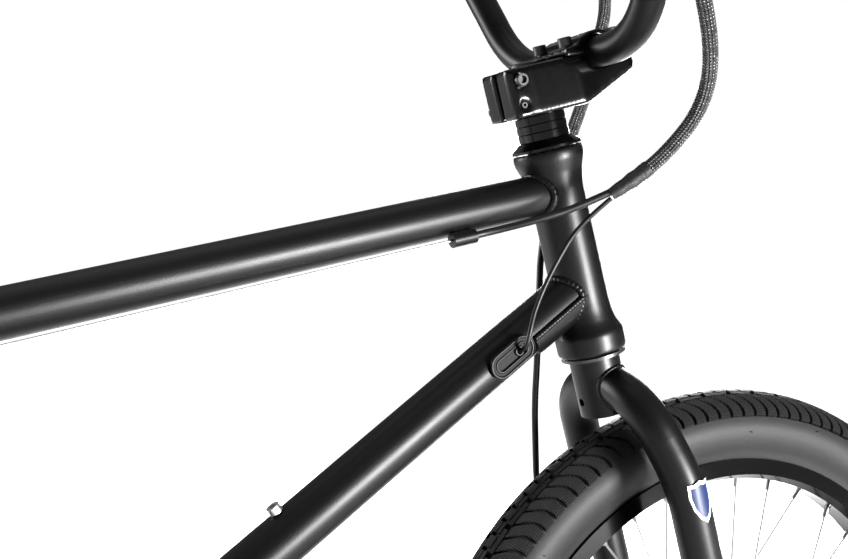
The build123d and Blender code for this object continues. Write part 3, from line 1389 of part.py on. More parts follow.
PEDAL_T = 15.0
PEDAL_NAMES = {1: "pedal_left", -1: "pedal_right"}
for side, name in PEDAL_NAMES.items():
    centre = CRANK_ENDS[side] + Y_AXIS * side * (PEDAL_IN + PEDAL_W / 2)
    with BuildPart() as pedal:
        with BuildSketch(Plane(origin=centre, x_dir=(1, 0, 0), z_dir=(0, 0, 1))) as platform:
            RectangleRounded(PEDAL_L, PEDAL_W, 14)
            for fore in (-1, 1):
                for column in (-1, 1):
                    with Locations((fore * 28, column * 20)):
                        RectangleRounded(24, 30, 5, mode=Mode.SUBTRACT)
        extrude(to_extrude=platform.sketch, amount=PEDAL_T / 2, both=True)
        rod(centre - Y_AXIS * PEDAL_W / 2, centre + Y_AXIS * PEDAL_W / 2, 9)
        for fore in (-42, 42):
            for column in (-36, -12, 12, 36):
                pin_low = centre + V(fore, column, -PEDAL_T / 2 - 3.5)
                rod(pin_low, pin_low + UP * (PEDAL_T + 7), 1.8)
        bore_start = centre - Y_AXIS * side * (PEDAL_W / 2 + 1)
        bore_end = bore_start + Y_AXIS * side * (PEDAL_W - 2)
        rod(bore_start, bore_end, PEDAL_SHAFT_R + RUN, mode=Mode.SUBTRACT)
    pedal.part.label = name
    export_step(pedal.part, f"parts/{name}.step")

# ==================== cables ====================

LOOM_R = 5.0               # brake housing and a wire in one braided sleeve
STRAND_UP = V(0, 0, 1.9)   # housing and wire leave the sleeve side by side
STRAND_DOWN = V(0, 0, -2.6)


def barrel_mouth(side, beyond=0.1):
    """Point on the axis of a brake lever's barrel, beyond its inner end."""
    return lever_frame(side).from_local_coords(V(-36 - beyond, 29, 0))


def cord(name, points, radius):
    """Cord along its points; prints its arcs, and its volume against section times length."""
    radii = cord_radii(points)
    with BuildLine() as route:
        FilletPolyline(*points, radius=radii)
    length = route.wire().length
    with BuildPart(mode=Mode.PRIVATE) as tube:
        bent(points, radii, radius)
    share = tube.part.volume / (math.pi * radius**2 * length)
    print(name, "length", round(length, 1), "volume share", round(share, 4))
    print("radii", [round(r, 1) for r in radii])
    add(tube.part)


RIGHT_LOOM = [
    barrel_mouth(-1),
    barrel_mouth(-1, 16),
    V(318, -166, 931),
    V(325, -158, 895),
    V(329, -152, 855),
    V(328, -149, 812),
    V(328, -147, 776),
    V(343, -134, 756),
    V(367, -114, 741),
    V(379, -95, 720),
    V(371, -78, 699),
    V(354, -65, 679),
    V(335, -52, 664),
]
SLEEVE_END = RIGHT_LOOM[-1]
REAR_HOUSING_FRONT = [
    SLEEVE_END + STRAND_UP,
    V(314, -41, 655),
    V(290, -31, 647),
    stop_centre(STOP_FRONT) + TOP_DIR * (STOP_L / 2 + 12),
    stop_centre(STOP_FRONT) + TOP_DIR * (STOP_L / 2 + 0.1),
]
BRAKE_TIP = BOSS_ROOTS[-1] + BOSS_DIR * ARM_MID + RUN_UP * (BRAKE_ARM_L - 8)
TIP_OUT = 54.0
WIRE_REACH = 42.0
REAR_HOUSING_BACK = [
    stop_centre(STOP_REAR) - TOP_DIR * (STOP_L / 2 + 0.1),
    stop_centre(STOP_REAR) - TOP_DIR * (STOP_L / 2 + 12),
    V(-197, -28, 548),
    V(-224, -38, 552),
    V(-250, -54, 549),
    V(-273, -73, 534),
    V(-291, -85, 510),
    V(-303, -87, 485),
    V(BRAKE_TIP.X - 1, -74, BRAKE_TIP.Z + 2),
    V(BRAKE_TIP.X, -TIP_OUT, BRAKE_TIP.Z),
]
with BuildPart() as rear_brake_cable:
    cord("right loom", RIGHT_LOOM, LOOM_R)
    cord("rear housing, front run", REAR_HOUSING_FRONT, CABLE_R)
    cord("rear housing, back run", REAR_HOUSING_BACK, CABLE_R)
rear_brake_cable.part.label = "rear_brake_cable"
export_step(rear_brake_cable.part, "parts/rear_brake_cable.step")

# Bare inner wire: taut under the top tube, and across the tyre between the brake arms.
with BuildPart() as inner_wire:
    rod(
        V(BRAKE_TIP.X, -WIRE_REACH, BRAKE_TIP.Z),
        V(BRAKE_TIP.X, WIRE_REACH, BRAKE_TIP.Z),
        INNER_R,
    )
    rod(
        stop_centre(STOP_REAR) - TOP_DIR * (STOP_L / 2 - 1),
        stop_centre(STOP_FRONT) + TOP_DIR * (STOP_L / 2 - 1),
        INNER_R,
    )
inner_wire.part.label = "inner_wire"
export_step(inner_wire.part, "parts/inner_wire.step")

SENSOR_WIRE = [
    SLEEVE_END + STRAND_DOWN,
    V(324, -44, 650),
    V(314, -37, 637),
    V(306, -33, 622),
    V(297, -31, 606),
    V(288, -29, 586),
    V(283, -30, 570),
    PORT + V(0, -DOWN_TUBE_R - 9, 0),
    PORT + V(0, -DOWN_TUBE_R + 2, 0),
]
with BuildPart() as sensor_wire:
    cord("sensor wire", SENSOR_WIRE, WIRE_R)
sensor_wire.part.label = "sensor_wire"
export_step(sensor_wire.part, "parts/sensor_wire.step")

FRONT_CLAMP = at_head(CLAMP_B, ARM_IN + ARM_T / 2, CLAMP_A + 5.4)
LEFT_LOOM = [
    barrel_mouth(1),
    barrel_mouth(1, 16),
    V(352, 150, 944),
    V(388, 122, 926),
    V(413, 94, 895),
    V(425, 69, 857),
    V(419, 57, 822),
    V(407, 52, 795),
    V(395, 46, 765),
    V(380, 40, 738),
    V(367, 37, 713),
    V(354, 35, 687),
]
FRONT_HOUSING = [
    LEFT_LOOM[-1],
    V(342, 35, 653),
    V(338, 35, 617),
    V(337, 36, 581),
    V(339, 41, 545),
    V(342, 49, 511),
    V(347, 55, 474),
    V(350, 58, 437),
    V(355, 60, 401),
    V(365, 61, 368),
    V(377, 61.5, 341),
    FRONT_CLAMP,
]
with BuildPart() as front_brake_cable:
    cord("left loom", LEFT_LOOM, LOOM_R)
    cord("front housing", FRONT_HOUSING, CABLE_R)
front_brake_cable.part.label = "front_brake_cable"
export_step(front_brake_cable.part, "parts/front_brake_cable.step")
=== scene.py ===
import math

import bmesh
import bpy
from mathutils import Matrix, Vector


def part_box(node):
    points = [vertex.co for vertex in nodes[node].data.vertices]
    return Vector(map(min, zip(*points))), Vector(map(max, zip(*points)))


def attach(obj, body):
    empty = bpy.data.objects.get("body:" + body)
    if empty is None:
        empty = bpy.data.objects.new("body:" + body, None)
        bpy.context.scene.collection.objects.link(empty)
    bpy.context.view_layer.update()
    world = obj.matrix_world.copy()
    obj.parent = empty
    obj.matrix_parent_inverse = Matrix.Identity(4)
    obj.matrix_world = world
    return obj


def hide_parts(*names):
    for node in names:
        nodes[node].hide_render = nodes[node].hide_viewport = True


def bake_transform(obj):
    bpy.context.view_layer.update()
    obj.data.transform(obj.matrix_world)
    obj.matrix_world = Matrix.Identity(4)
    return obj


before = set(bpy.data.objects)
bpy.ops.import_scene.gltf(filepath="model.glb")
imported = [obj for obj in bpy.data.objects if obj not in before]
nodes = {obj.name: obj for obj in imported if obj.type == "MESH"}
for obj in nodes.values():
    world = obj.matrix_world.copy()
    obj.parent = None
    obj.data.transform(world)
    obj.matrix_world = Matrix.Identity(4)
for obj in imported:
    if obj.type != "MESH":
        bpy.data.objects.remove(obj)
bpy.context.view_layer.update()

# ---------------------------------------------------------------- camera
# Level view from behind the bike's right side, at the height of the top tube's middle,
# turned 29 degrees towards the front wheel.
camera_data = bpy.data.cameras.new("camera")
camera_data.lens = 45.83
camera_data.sensor_width = 36
camera = bpy.data.objects.new("camera", camera_data)
bpy.context.scene.collection.objects.link(camera)
yaw, pitch, roll = 0.5083, 0.0043, -0.0049        # radians
ahead = Vector((math.sin(yaw) * math.cos(pitch), math.cos(yaw) * math.cos(pitch), -math.sin(pitch)))
level = Vector((math.cos(yaw), -math.sin(yaw), 0))
over = level.cross(ahead)
side_on = level * math.cos(roll) + over * math.sin(roll)
upright = over * math.cos(roll) - level * math.sin(roll)
turn = Matrix((side_on, upright, -ahead)).transposed().to_4x4()
camera.matrix_world = Matrix.Translation((-0.1312, -0.6283, 0.6103)) @ turn
bpy.context.scene.camera = camera


# ---------------------------------------------------------------- cables
# Brake housings and a sensor wire from the bars: two braided nylon sleeves carry them
# to shrink-tube ends, from where bare housings run to the stops, the brakes and the frame port.
def paint(hexcode):
    """Linear colour of an sRGB hex value."""
    parts = [int(hexcode[i:i + 2], 16) / 255 for i in (0, 2, 4)]
    return [c / 12.92 if c <= 0.04045 else ((c + 0.055) / 1.055) ** 2.4 for c in parts] + [1.0]


def material(name, colour, roughness, metallic=0.0, **sockets):
    """New material; returns it with its nodes and its shader."""
    made = bpy.data.materials.new(name)
    made.use_nodes = True
    made.diffuse_color = paint(colour)
    shader = made.node_tree.nodes["Principled BSDF"]
    shader.inputs["Base Color"].default_value = paint(colour)
    shader.inputs["Roughness"].default_value = roughness
    shader.inputs["Metallic"].default_value = metallic
    for socket, value in sockets.items():
        shader.inputs[socket.replace("_", " ")].default_value = value
    return made, made.node_tree, shader


def node(tree, kind, settings=None, to=None, **links):
    """Adds a node, sets it up, links or sets its inputs, and links it to a socket if one is given."""
    new = tree.nodes.new(kind)
    for key, value in (settings or {}).items():
        setattr(new, key, value)
    for key, value in links.items():
        numbered = key[0] == "i" and key[1:].isdigit()
        socket = new.inputs[int(key[1:])] if numbered else new.inputs[key.replace("_", " ")]
        if isinstance(value, bpy.types.NodeSocket):
            tree.links.new(value, socket)
        else:
            socket.default_value = value
    if to:
        tree.links.new(next(o for o in new.outputs if o.type == to.type), to)
    return new


def fine_grain(tree, scale, detail=2.0, **settings):
    """Fine random pattern fixed to the piece; scale is in grains to the metre."""
    place = node(tree, "ShaderNodeTexCoord").outputs["Object"]
    return node(tree, "ShaderNodeTexNoise", Vector=place, Scale=scale, Detail=detail,
                **settings).outputs["Fac"]


def finish_piece(bm, name, body, finish, smooth=35, stands_for=()):
    """Makes an object of a mesh, on its body, with its finish."""
    mesh = bpy.data.meshes.new(name)
    bm.to_mesh(mesh)
    bm.free()
    piece = bpy.data.objects.new(name, mesh)
    bpy.context.scene.collection.objects.link(piece)
    mesh.materials.append(finish)
    if smooth:
        mesh.shade_smooth()
        mesh.set_sharp_from_angle(angle=math.radians(smooth))
    if body:
        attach(piece, body)
    if stands_for:
        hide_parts(*stands_for)
    return piece


def route_points(points):
    """Points along the smooth line that a cord's control points make."""
    curve = bpy.data.curves.new("route", "CURVE")
    curve.dimensions = "3D"
    curve.resolution_u = 8
    spline = curve.splines.new("NURBS")
    spline.points.add(len(points) - 1)
    for control, place in zip(spline.points, points):
        control.co = (*place, 1)
    spline.order_u = 3
    spline.use_endpoint_u = True
    holder = bpy.data.objects.new("route", curve)
    bpy.context.scene.collection.objects.link(holder)
    bpy.context.view_layer.update()
    line = bpy.data.meshes.new_from_object(holder)
    found = [v.co.copy() for v in line.vertices]
    bpy.data.objects.remove(holder)
    bpy.data.curves.remove(curve)
    bpy.data.meshes.remove(line)
    return found


def tube_on(bm, line, radius, sides=16, closed=False):
    """Round tube along a line; radius is a number or one for each point. Maps turns and metres."""
    layer = bm.loops.layers.uv.verify()
    count = len(line)
    sizes = [radius] * count if isinstance(radius, (int, float)) else radius
    across = Vector((0, 0, 1)) if abs((line[1] - line[0]).normalized().z) < 0.9 else Vector((1, 0, 0))
    rings, along, run = [], 0.0, []
    for i, point in enumerate(line):
        after = line[(i + 1) % count] if closed else line[min(i + 1, count - 1)]
        before = line[i - 1] if closed else line[max(i - 1, 0)]
        heading = (after - before).normalized()
        across = (across - heading * across.dot(heading)).normalized()
        turned = Matrix((across, heading.cross(across), heading)).transposed().to_4x4()
        ring = bmesh.ops.create_circle(bm, segments=sides, radius=sizes[i],
                                       matrix=Matrix.Translation(point) @ turned)["verts"]
        if i:
            along += (point - line[i - 1]).length
        rings.append(ring)
        run.append(along)
    pairs = list(zip(range(count - 1), range(1, count)))
    if closed:
        pairs.append((count - 1, 0))
        run.append(along + (line[0] - line[-1]).length)
    for low, high in pairs:
        start, end = rings[low], rings[high]
        shift = 0
        if closed and high == 0:
            shift = min(range(sides), key=lambda k: (start[0].co - end[k].co).length)
        for k in range(sides):
            j = (k + 1) % sides
            face = bm.faces.new((start[k], start[j], end[(j + shift) % sides], end[(k + shift) % sides]))
            far = run[low + 1]
            for loop, uv in zip(face.loops, ((k, run[low]), (k + 1, run[low]), (k + 1, far), (k, far))):
                loop[layer].uv = (uv[0] / sides, uv[1])
    if not closed:
        bm.faces.new(list(reversed(rings[0])))
        bm.faces.new(rings[-1])
    return rings


def mm(*xyz):
    """Point in millimetres as a vector in metres."""
    return Vector(xyz) / 1000


# Braided nylon sleeve: black strands crossing every 2.2 mm, drawn a little coarse so that
# they show, with painted glints: pale base colour where the monofilament turns over.
BRAID_TURN = 0.0044
BRAID_STRANDS = 7
sleeve_nylon, tree, shader = material("braided_nylon", "0c0c0c", 0.5, Sheen_Weight=0.05, IOR=1.3)
uv = node(tree, "ShaderNodeUVMap").outputs["UV"]
axes = node(tree, "ShaderNodeSeparateXYZ", Vector=uv)
rise = node(tree, "ShaderNodeMath", {"operation": "MULTIPLY"}, i0=axes.outputs["Y"],
            i1=2 * math.pi / BRAID_TURN)
round_by = node(tree, "ShaderNodeMath", {"operation": "MULTIPLY"}, i0=axes.outputs["X"],
                i1=2 * math.pi * BRAID_STRANDS)
left_hand = node(tree, "ShaderNodeMath", {"operation": "ADD"}, i0=round_by.outputs[0], i1=rise.outputs[0])
right_hand = node(tree, "ShaderNodeMath", {"operation": "SUBTRACT"}, i0=round_by.outputs[0],
                  i1=rise.outputs[0])
left_wave = node(tree, "ShaderNodeMath", {"operation": "SINE"}, i0=left_hand.outputs[0])
right_wave = node(tree, "ShaderNodeMath", {"operation": "SINE"}, i0=right_hand.outputs[0])
weave = node(tree, "ShaderNodeMath", {"operation": "MULTIPLY"}, i0=left_wave.outputs[0],
             i1=right_wave.outputs[0])
painted_glint_crest = node(tree, "ShaderNodeMapRange", Value=weave.outputs[0], From_Min=0.62, From_Max=0.9)
speckle = fine_grain(tree, 260.0, detail=1.0)
chance = node(tree, "ShaderNodeMapRange", Value=speckle, From_Min=0.42, From_Max=0.6)
painted_glint = node(tree, "ShaderNodeMath", {"operation": "MULTIPLY"}, i0=painted_glint_crest.outputs[0], i1=chance.outputs[0])
# Painted highlight: pale grey mixed into the base colour at random crests of the braid.
node(tree, "ShaderNodeMix", {"data_type": "RGBA"}, to=shader.inputs["Base Color"],
     Factor=painted_glint.outputs[0], A=paint("060606"), B=paint("7c7c7a"))
node(tree, "ShaderNodeBump", Height=weave.outputs[0], Distance=0.0007, to=shader.inputs["Normal"])

# Extruded PVC housing: smooth black plastic, slightly wavy from the steel coil inside.
housing_pvc, tree, shader = material("black_pvc_housing", "050505", 0.42, IOR=1.25)
wavy = fine_grain(tree, 300.0)
node(tree, "ShaderNodeBump", Height=wavy, Distance=0.0001, to=shader.inputs["Normal"])

# Heat-shrink tube: dull black polyolefin drawn tight over the sleeve's end, with wrinkles.
shrink_tube, tree, shader = material("heat_shrink_tube", "0b0b0b", 0.42, IOR=1.35)
creases = fine_grain(tree, 90.0, Distortion=0.8)
node(tree, "ShaderNodeBump", Height=creases, Distance=0.0009, to=shader.inputs["Normal"])

STEER_FOOT = mm(359.182, 0, 554.484)
STEER_UP = Vector((-0.26387, 0, 0.96456))


SLEEVE_R = 0.005
SHRINK_L = 0.024


def make_cords(name, parts, cad_node, finish, crosses=None):
    """Tubes along cord routes as one piece; those given crosses are baked in place on no body, the rest go on
    the frame.
    """
    bm = bmesh.new()
    for points, radius in parts:
        line = route_points(points)
        if radius == SLEEVE_R:
            ends = [(p - line[-1]).length for p in line]
            radius = [SLEEVE_R - 0.0022 * max(0, 1 - gap / SHRINK_L) for gap in ends]
        tube_on(bm, line, radius, 18)
    piece = finish_piece(bm, name, None if crosses else "frame", finish, 50, (cad_node,))
    if crosses:
        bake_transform(piece)
    return piece


right_loom = [
    mm(295.94, -205.61, 947.58), mm(298.72, -190.06, 947.99), mm(311, -166, 931), mm(309, -158, 895),
    mm(309, -150, 855), mm(320, -143, 815), mm(338, -137, 780), mm(352, -129, 754), mm(366, -113, 733),
    mm(371, -96, 714), mm(366, -79, 696), mm(354, -65, 679), mm(335, -52, 664),
]
front_run = [
    mm(335, -52, 665.9), mm(314, -41, 655), mm(290, -31, 647), mm(262.2, -13, 638.9), mm(250.55, -13, 636.5),
]
back_run = [
    mm(-153.5, -13, 551.2), mm(-165.1, -13, 548.7), mm(-197, -28, 548), mm(-224, -38, 552),
    mm(-250, -54, 549), mm(-273, -73, 534), mm(-291, -85, 510), mm(-303, -87, 485),
    mm(-304.5, -74, 474.3), mm(-303.5, -54, 472.3),
]
sensor_run = [
    mm(335, -52, 661.4), mm(324, -44, 650), mm(314, -37, 637), mm(306, -33, 622), mm(297, -31, 606),
    mm(288, -29, 586), mm(283, -30, 570), mm(282.6, -25.7, 558.3), mm(282.6, -14.7, 558.3),
]
left_loom = [
    mm(329.75, 195.07, 956.83), mm(329.89, 179.27, 956.52), mm(352, 150, 944), mm(388, 122, 926),
    mm(413, 94, 895), mm(425, 69, 857), mm(419, 57, 822), mm(407, 52, 795), mm(395, 46, 765),
    mm(380, 40, 738), mm(367, 37, 713), mm(354, 35, 687),
]
front_top = [mm(354, 35, 687), mm(342, 35, 653), mm(338, 35, 617)]
front_drop = [
    mm(338, 35, 617), mm(337, 36, 581), mm(339, 41, 545),
    mm(342, 49, 511), mm(347, 55, 474), mm(350, 58, 437), mm(355, 60, 401), mm(365, 61, 368),
    mm(377, 61.5, 341), mm(386.14, 61.54, 316.57),
]
low_on_head = mm(330, 0, 640)
high_on_head = mm(300, 0, 800)
make_cords("right_braided_sleeve", [(right_loom, SLEEVE_R)], "rear_brake_cable", sleeve_nylon,
           (low_on_head, high_on_head))
make_cords("left_braided_sleeve", [(left_loom, SLEEVE_R)], "front_brake_cable", sleeve_nylon,
           (low_on_head, high_on_head))
make_cords("sensor_lead", [(sensor_run, 0.0016)], "sensor_wire", housing_pvc)
make_cords("rear_housing_front_run", [(front_run, 0.0025)], "rear_brake_cable", housing_pvc)
make_cords("rear_housing_back_run", [(back_run, 0.0025)], "rear_brake_cable", housing_pvc)
make_cords("front_housing_top", [(front_top, 0.0025)], "front_brake_cable", housing_pvc,
           (low_on_head, high_on_head))
make_cords("front_housing", [(front_drop, 0.0025)], "front_brake_cable", housing_pvc,
           (mm(338, 36, 600), mm(352, 59, 430)))

# Shrink-tube ends, longer on the right where two cords leave the sleeve.
for name, line, reach in (("right_shrink_end", right_loom, 0.031), ("left_shrink_end", left_loom, 0.026)):
    smooth_line = route_points(line)
    tail = [p for p in smooth_line if (p - smooth_line[-1]).length < reach]
    steps = len(tail) - 1
    sizes = [0.0055 + 0.0003 * math.sin(2.6 * k) - 0.0014 * (k / steps) ** 3 for k in range(steps + 1)]
    bm = bmesh.new()
    tube_on(bm, tail, sizes, 18)
    bmesh.ops.bevel(bm, geom=[e for e in bm.edges if len(e.link_faces) == 2 and e.calc_face_angle(0) > 1],
                    offset=0.0006, segments=2, profile=0.5, affect="EDGES", material=-1)
    piece = finish_piece(bm, name, None, shrink_tube, 60)
    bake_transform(piece)

# ---------------------------------------------------------------- frame tubes
# Chromoly tubes, TIG welded and powder coated satin black; the CAD tubes keep their shape
# and the weld beads are laid where their walls meet.
# Satin powder coat: near-black polyester with a broad soft highlight and faint orange peel.
powder_coat, tree, shader = material("satin_powder_coat", "030303", 0.36, IOR=1.21)
peel = fine_grain(tree, 900.0)
node(tree, "ShaderNodeBump", Height=peel, Distance=0.00006, to=shader.inputs["Normal"])
cloud = fine_grain(tree, 30.0, detail=3.0)
node(tree, "ShaderNodeMapRange", Value=cloud, To_Min=0.33, To_Max=0.4, to=shader.inputs["Roughness"])


def dress(finish, *names):
    """Gives CAD nodes their finish."""
    for name in names:
        slots = nodes[name].material_slots
        if not slots:
            nodes[name].data.materials.append(finish)
        for one in nodes[name].material_slots:
            one.material = finish


dress(powder_coat, "top_tube", "down_tube", "seat_tube", "bb_shell", "chainstays", "seatstays",
      "down_tube_gusset", "seatpost", "fork_crown", "fork_legs", "crossbar", "handlebar")


def joint_line(start, heading, radius, core, core_heading, core_radius, count=96):
    """Closed line where a tube's wall meets the outside of another tube."""
    heading = heading.normalized()
    core_heading = core_heading.normalized()
    one = heading.orthogonal().normalized()
    two = heading.cross(one)
    line = []
    for k in range(count):
        angle = 2 * math.pi * k / count
        spot = start + (one * math.cos(angle) + two * math.sin(angle)) * radius
        gap = spot - core
        flat = gap - core_heading * gap.dot(core_heading)
        slide = heading - core_heading * heading.dot(core_heading)
        a, b = slide.dot(slide), 2 * flat.dot(slide)
        c = flat.dot(flat) - core_radius ** 2
        root = b * b - 4 * a * c
        if root < 0:
            continue
        line.append(spot + heading * ((-b + math.sqrt(root)) / (2 * a)))
    return line


def weld_bead(bm, line, size=0.0024, pitch=0.0031, closed=True, ripple=0.2):
    """Rippled fillet of overlapping weld puddles along a line."""
    ends = line + [line[0]] if closed else line
    lengths = [(b - a).length for a, b in zip(ends, ends[1:])]
    total = sum(lengths)
    puddles = max(3, round(total / pitch))
    steps = puddles * 4
    spots, sizes = [], []
    for k in range(steps if closed else steps + 1):
        want = total * k / steps
        index = 0
        while index < len(lengths) - 1 and want > lengths[index]:
            want -= lengths[index]
            index += 1
        share = want / lengths[index] if lengths[index] else 0
        spots.append(ends[index].lerp(ends[index + 1], share))
        phase = (k % 4) / 4
        sizes.append(size * (1.02 - ripple + ripple * math.sin(math.pi * phase) ** 0.7))
    tube_on(bm, spots, sizes, 8, closed)


HEAD_AXIS = (STEER_FOOT, STEER_UP)
HEAD_R, TOP_R, DOWN_R, SEAT_R, SHELL_R = 0.0199, 0.0148, 0.0167, 0.0144, 0.0251
STAY_FOOT_R, STAY_HEAD_R = 0.009, 0.0075
AXLE_WAY = Vector((0, 1, 0))
TOP_FRONT, TOP_REAR = mm(327.78, 0, 669.27), mm(-195.47, 0, 558.8)
DOWN_FRONT, SHELL = mm(346.31, 0, 601.55), mm(-104.64, 0, 295)
SEAT_UP = Vector((-0.32557, 0, 0.94552))
TOP_DIR = (TOP_FRONT - TOP_REAR).normalized()
DOWN_DIR = (DOWN_FRONT - SHELL).normalized()
bm = bmesh.new()
weld_bead(bm, joint_line(TOP_FRONT, TOP_DIR * -1, 0.0146, *HEAD_AXIS, 0.0198), 0.0034, ripple=0.06)
weld_bead(bm, joint_line(DOWN_FRONT, DOWN_DIR * -1, DOWN_R + 0.0002, *HEAD_AXIS, HEAD_R), 0.0027)
weld_bead(bm, joint_line(TOP_REAR, TOP_DIR, TOP_R, SHELL, SEAT_UP, SEAT_R))
weld_bead(bm, joint_line(SHELL, DOWN_DIR, DOWN_R, SHELL, AXLE_WAY, SHELL_R))
weld_bead(bm, joint_line(SHELL, SEAT_UP, SEAT_R - 0.0001, SHELL, AXLE_WAY, SHELL_R))
for side in (-1, 1):
    low_start, low_bend = mm(-114.64, side * 24, 293), mm(-189.64, side * 36, 289)
    weld_bead(bm, joint_line(low_start, low_bend - low_start, STAY_FOOT_R, SHELL, AXLE_WAY, SHELL_R), 0.002)
    high_start, high_bend = mm(-193.56, side * 10, 547.45), mm(-241.56, side * 40, 501.45)
    weld_bead(bm, joint_line(high_start, high_bend - high_start, STAY_HEAD_R, SHELL, SEAT_UP, SEAT_R), 0.002)
finish_piece(bm, "frame_welds", "frame", powder_coat, 60)

# Beads along both upper edges of the doubler plate under the front of the down tube.
bm = bmesh.new()
down_normal = Vector((-0.5622, 0, 0.827))
for side in (-1, 1):
    lift = down_normal * -0.0014 + Vector((0, side * 0.0178, 0))
    weld_bead(bm, [DOWN_FRONT - DOWN_DIR * 0.062 + lift, DOWN_FRONT - DOWN_DIR * 0.012 + lift],
              0.0022, 0.0026, closed=False)
finish_piece(bm, "gusset_welds", "frame", powder_coat, 60)

# Rolled rims of the side port and the collar round its wire.
bm = bmesh.new()
port_foot = DOWN_FRONT - DOWN_DIR * 0.084 + Vector((0, -0.0187, 0))
port_across = DOWN_DIR.cross(Vector((0, 1, 0)))
for length, width, bead in ((0.0368, 0.0158, 0.0011), (0.0288, 0.0088, 0.0009)):
    half, bend, outline = (length - width) / 2, width / 2, []
    for k in range(48):
        angle = 2 * math.pi * k / 48
        fore = bend * math.cos(angle) + math.copysign(half, math.cos(angle))
        outline.append(port_foot + DOWN_DIR * fore + port_across * bend * math.sin(angle))
    tube_on(bm, outline, bead, 10, closed=True)
wire_mouth = DOWN_FRONT - DOWN_DIR * 0.077 + Vector((0, -0.0182, 0))
collar = []
for k in range(24):
    angle = k * math.pi / 12
    collar.append(wire_mouth + (DOWN_DIR * math.cos(angle) + port_across * math.sin(angle)) * 0.0028)
tube_on(bm, collar, 0.0011, 10, closed=True)
bmesh.ops.recalc_face_normals(bm, faces=bm.faces)
finish_piece(bm, "port_rim", "frame", powder_coat, 60)

# ---------------------------------------------------------------- small frame parts
# Rubber port grommet, brazed cable stops, zinc plated bottle-boss bolts, ground steel bearings.
# Moulded EPDM rubber: dull black, slightly greyed where it is stretched.
soft_rubber, tree, shader = material("moulded_rubber", "040404", 0.6, IOR=1.17)
grain = fine_grain(tree, 700.0, detail=3.0)
node(tree, "ShaderNodeBump", Height=grain, Distance=0.00012, to=shader.inputs["Normal"])

# Zinc plated steel: bright grey with fine turning marks and slightly uneven gloss.
zinc_plate, tree, shader = material("zinc_plated_steel", "b4b4b2", 0.3, 1.0)
dulled = fine_grain(tree, 500.0, detail=4.0)
node(tree, "ShaderNodeMapRange", Value=dulled, To_Min=0.2, To_Max=0.45, to=shader.inputs["Roughness"])

# Black oxide steel: dark blue-grey conversion coat with a low oily sheen, worn at random.
black_oxide, tree, shader = material("black_oxide_steel", "1d1d20", 0.34, 0.6)
rubbed = fine_grain(tree, 240.0, detail=4.0)
node(tree, "ShaderNodeMix", {"data_type": "RGBA"}, to=shader.inputs["Base Color"],
     Factor=rubbed, A=paint("141416"), B=paint("2c2c2f"))

# Drawn stainless wire: bright, with fine lines along it.
drawn_wire, tree, shader = material("drawn_stainless_wire", "c9c9c7", 0.24, 1.0)
streak = fine_grain(tree, 800.0)
node(tree, "ShaderNodeMapRange", Value=streak, To_Min=0.16, To_Max=0.34, to=shader.inputs["Roughness"])
dress(soft_rubber, "wire_grommet")
dress(powder_coat, "cable_stops")
dress(zinc_plate, "bottle_bolts", "frame_bearings")
dress(drawn_wire, "inner_wire")

# Butted stainless spokes: duller than the drawn wire, grey along their sides.
spoke_steel, tree, shader = material("stainless_spoke_steel", "7d7d7b", 0.34, 1.0)
streak = fine_grain(tree, 500.0)
node(tree, "ShaderNodeMapRange", Value=streak, To_Min=0.26, To_Max=0.42, to=shader.inputs["Roughness"])
dress(spoke_steel, "front_spokes", "rear_spokes")
dress(black_oxide, "crown_race", "front_axle", "rear_axle", "crank_spindles", "saddle_rails")

# ---------------------------------------------------------------- fork
# Butted chromoly fork: two curved legs coped to a crown tube and welded, plate dropouts.
FORE = Vector((0.96089, -0.08716, 0.26287))
LEFT = Vector((0.08407, 0.99619, 0.023))


def steered(fore, left, up):
    """Point on the steered front end, from the foot of the head tube, in millimetres."""
    return STEER_FOOT + (FORE * fore + LEFT * left + STEER_UP * up) / 1000


bm = bmesh.new()
for side in (-1, 1):
    heading = steered(3, side * 46, -37) - steered(3, 0, -21)
    weld_bead(bm, joint_line(steered(3, 0, -21), heading, 0.0143, STEER_FOOT, STEER_UP, 0.0187), 0.0016,
              0.0024)
finish_piece(bm, "fork_crown_welds", "fork", powder_coat, 60)

# Shield-shaped vinyl label on the right leg: white with a plain blue field.
label_white, tree, shader = material("printed_vinyl_white", "cfcfd2", 0.3)
label_blue, tree, shader = material("printed_vinyl_blue", "0c1c46", 0.35, IOR=1.25)
ink = fine_grain(tree, 900.0)
node(tree, "ShaderNodeMix", {"data_type": "RGBA"}, to=shader.inputs["Base Color"],
     Factor=ink, A=paint("06102a"), B=paint("081738"))
shield = [(0, 15), (4.5, 13.2), (9.5, 13.6), (10, 4), (8.2, -5), (4.6, -12), (0, -16),
          (-4.6, -12), (-8.2, -5), (-10, 4), (-9.5, 13.6), (-4.5, 13.2)]


LABEL_TURN = 0.1
LABEL_UP = -105
LEG_R = 14.3


def leg_label(name, shrink, proud, finish):
    """Shield outline laid round the leg's outer side."""
    bm = bmesh.new()
    bm.faces.new([bm.verts.new((x * shrink, y * shrink, 0)) for x, y in shield])
    for cut in range(-7, 8):
        bmesh.ops.bisect_plane(bm, geom=bm.verts[:] + bm.edges[:] + bm.faces[:],
                               plane_co=(1.25 * cut, 0, 0), plane_no=(1, 0, 0))
    for v in bm.verts:
        angle = v.co.x / (LEG_R + 0.1) + LABEL_TURN
        around = FORE * math.sin(angle) - LEFT * math.cos(angle)
        v.co = steered(12, -62, LABEL_UP + v.co.y) + around * (LEG_R + proud) / 1000
    bmesh.ops.recalc_face_normals(bm, faces=bm.faces)
    outward = steered(12, -62, LABEL_UP)
    for face in bm.faces:
        if face.normal.dot(face.calc_center_median() - outward) < 0:
            face.normal_flip()
    return finish_piece(bm, name, "fork", finish, 60)


leg_label("leg_label_rim", 0.98, 0.12, label_white)
leg_label("leg_label_field", 0.8, 0.2, label_blue)

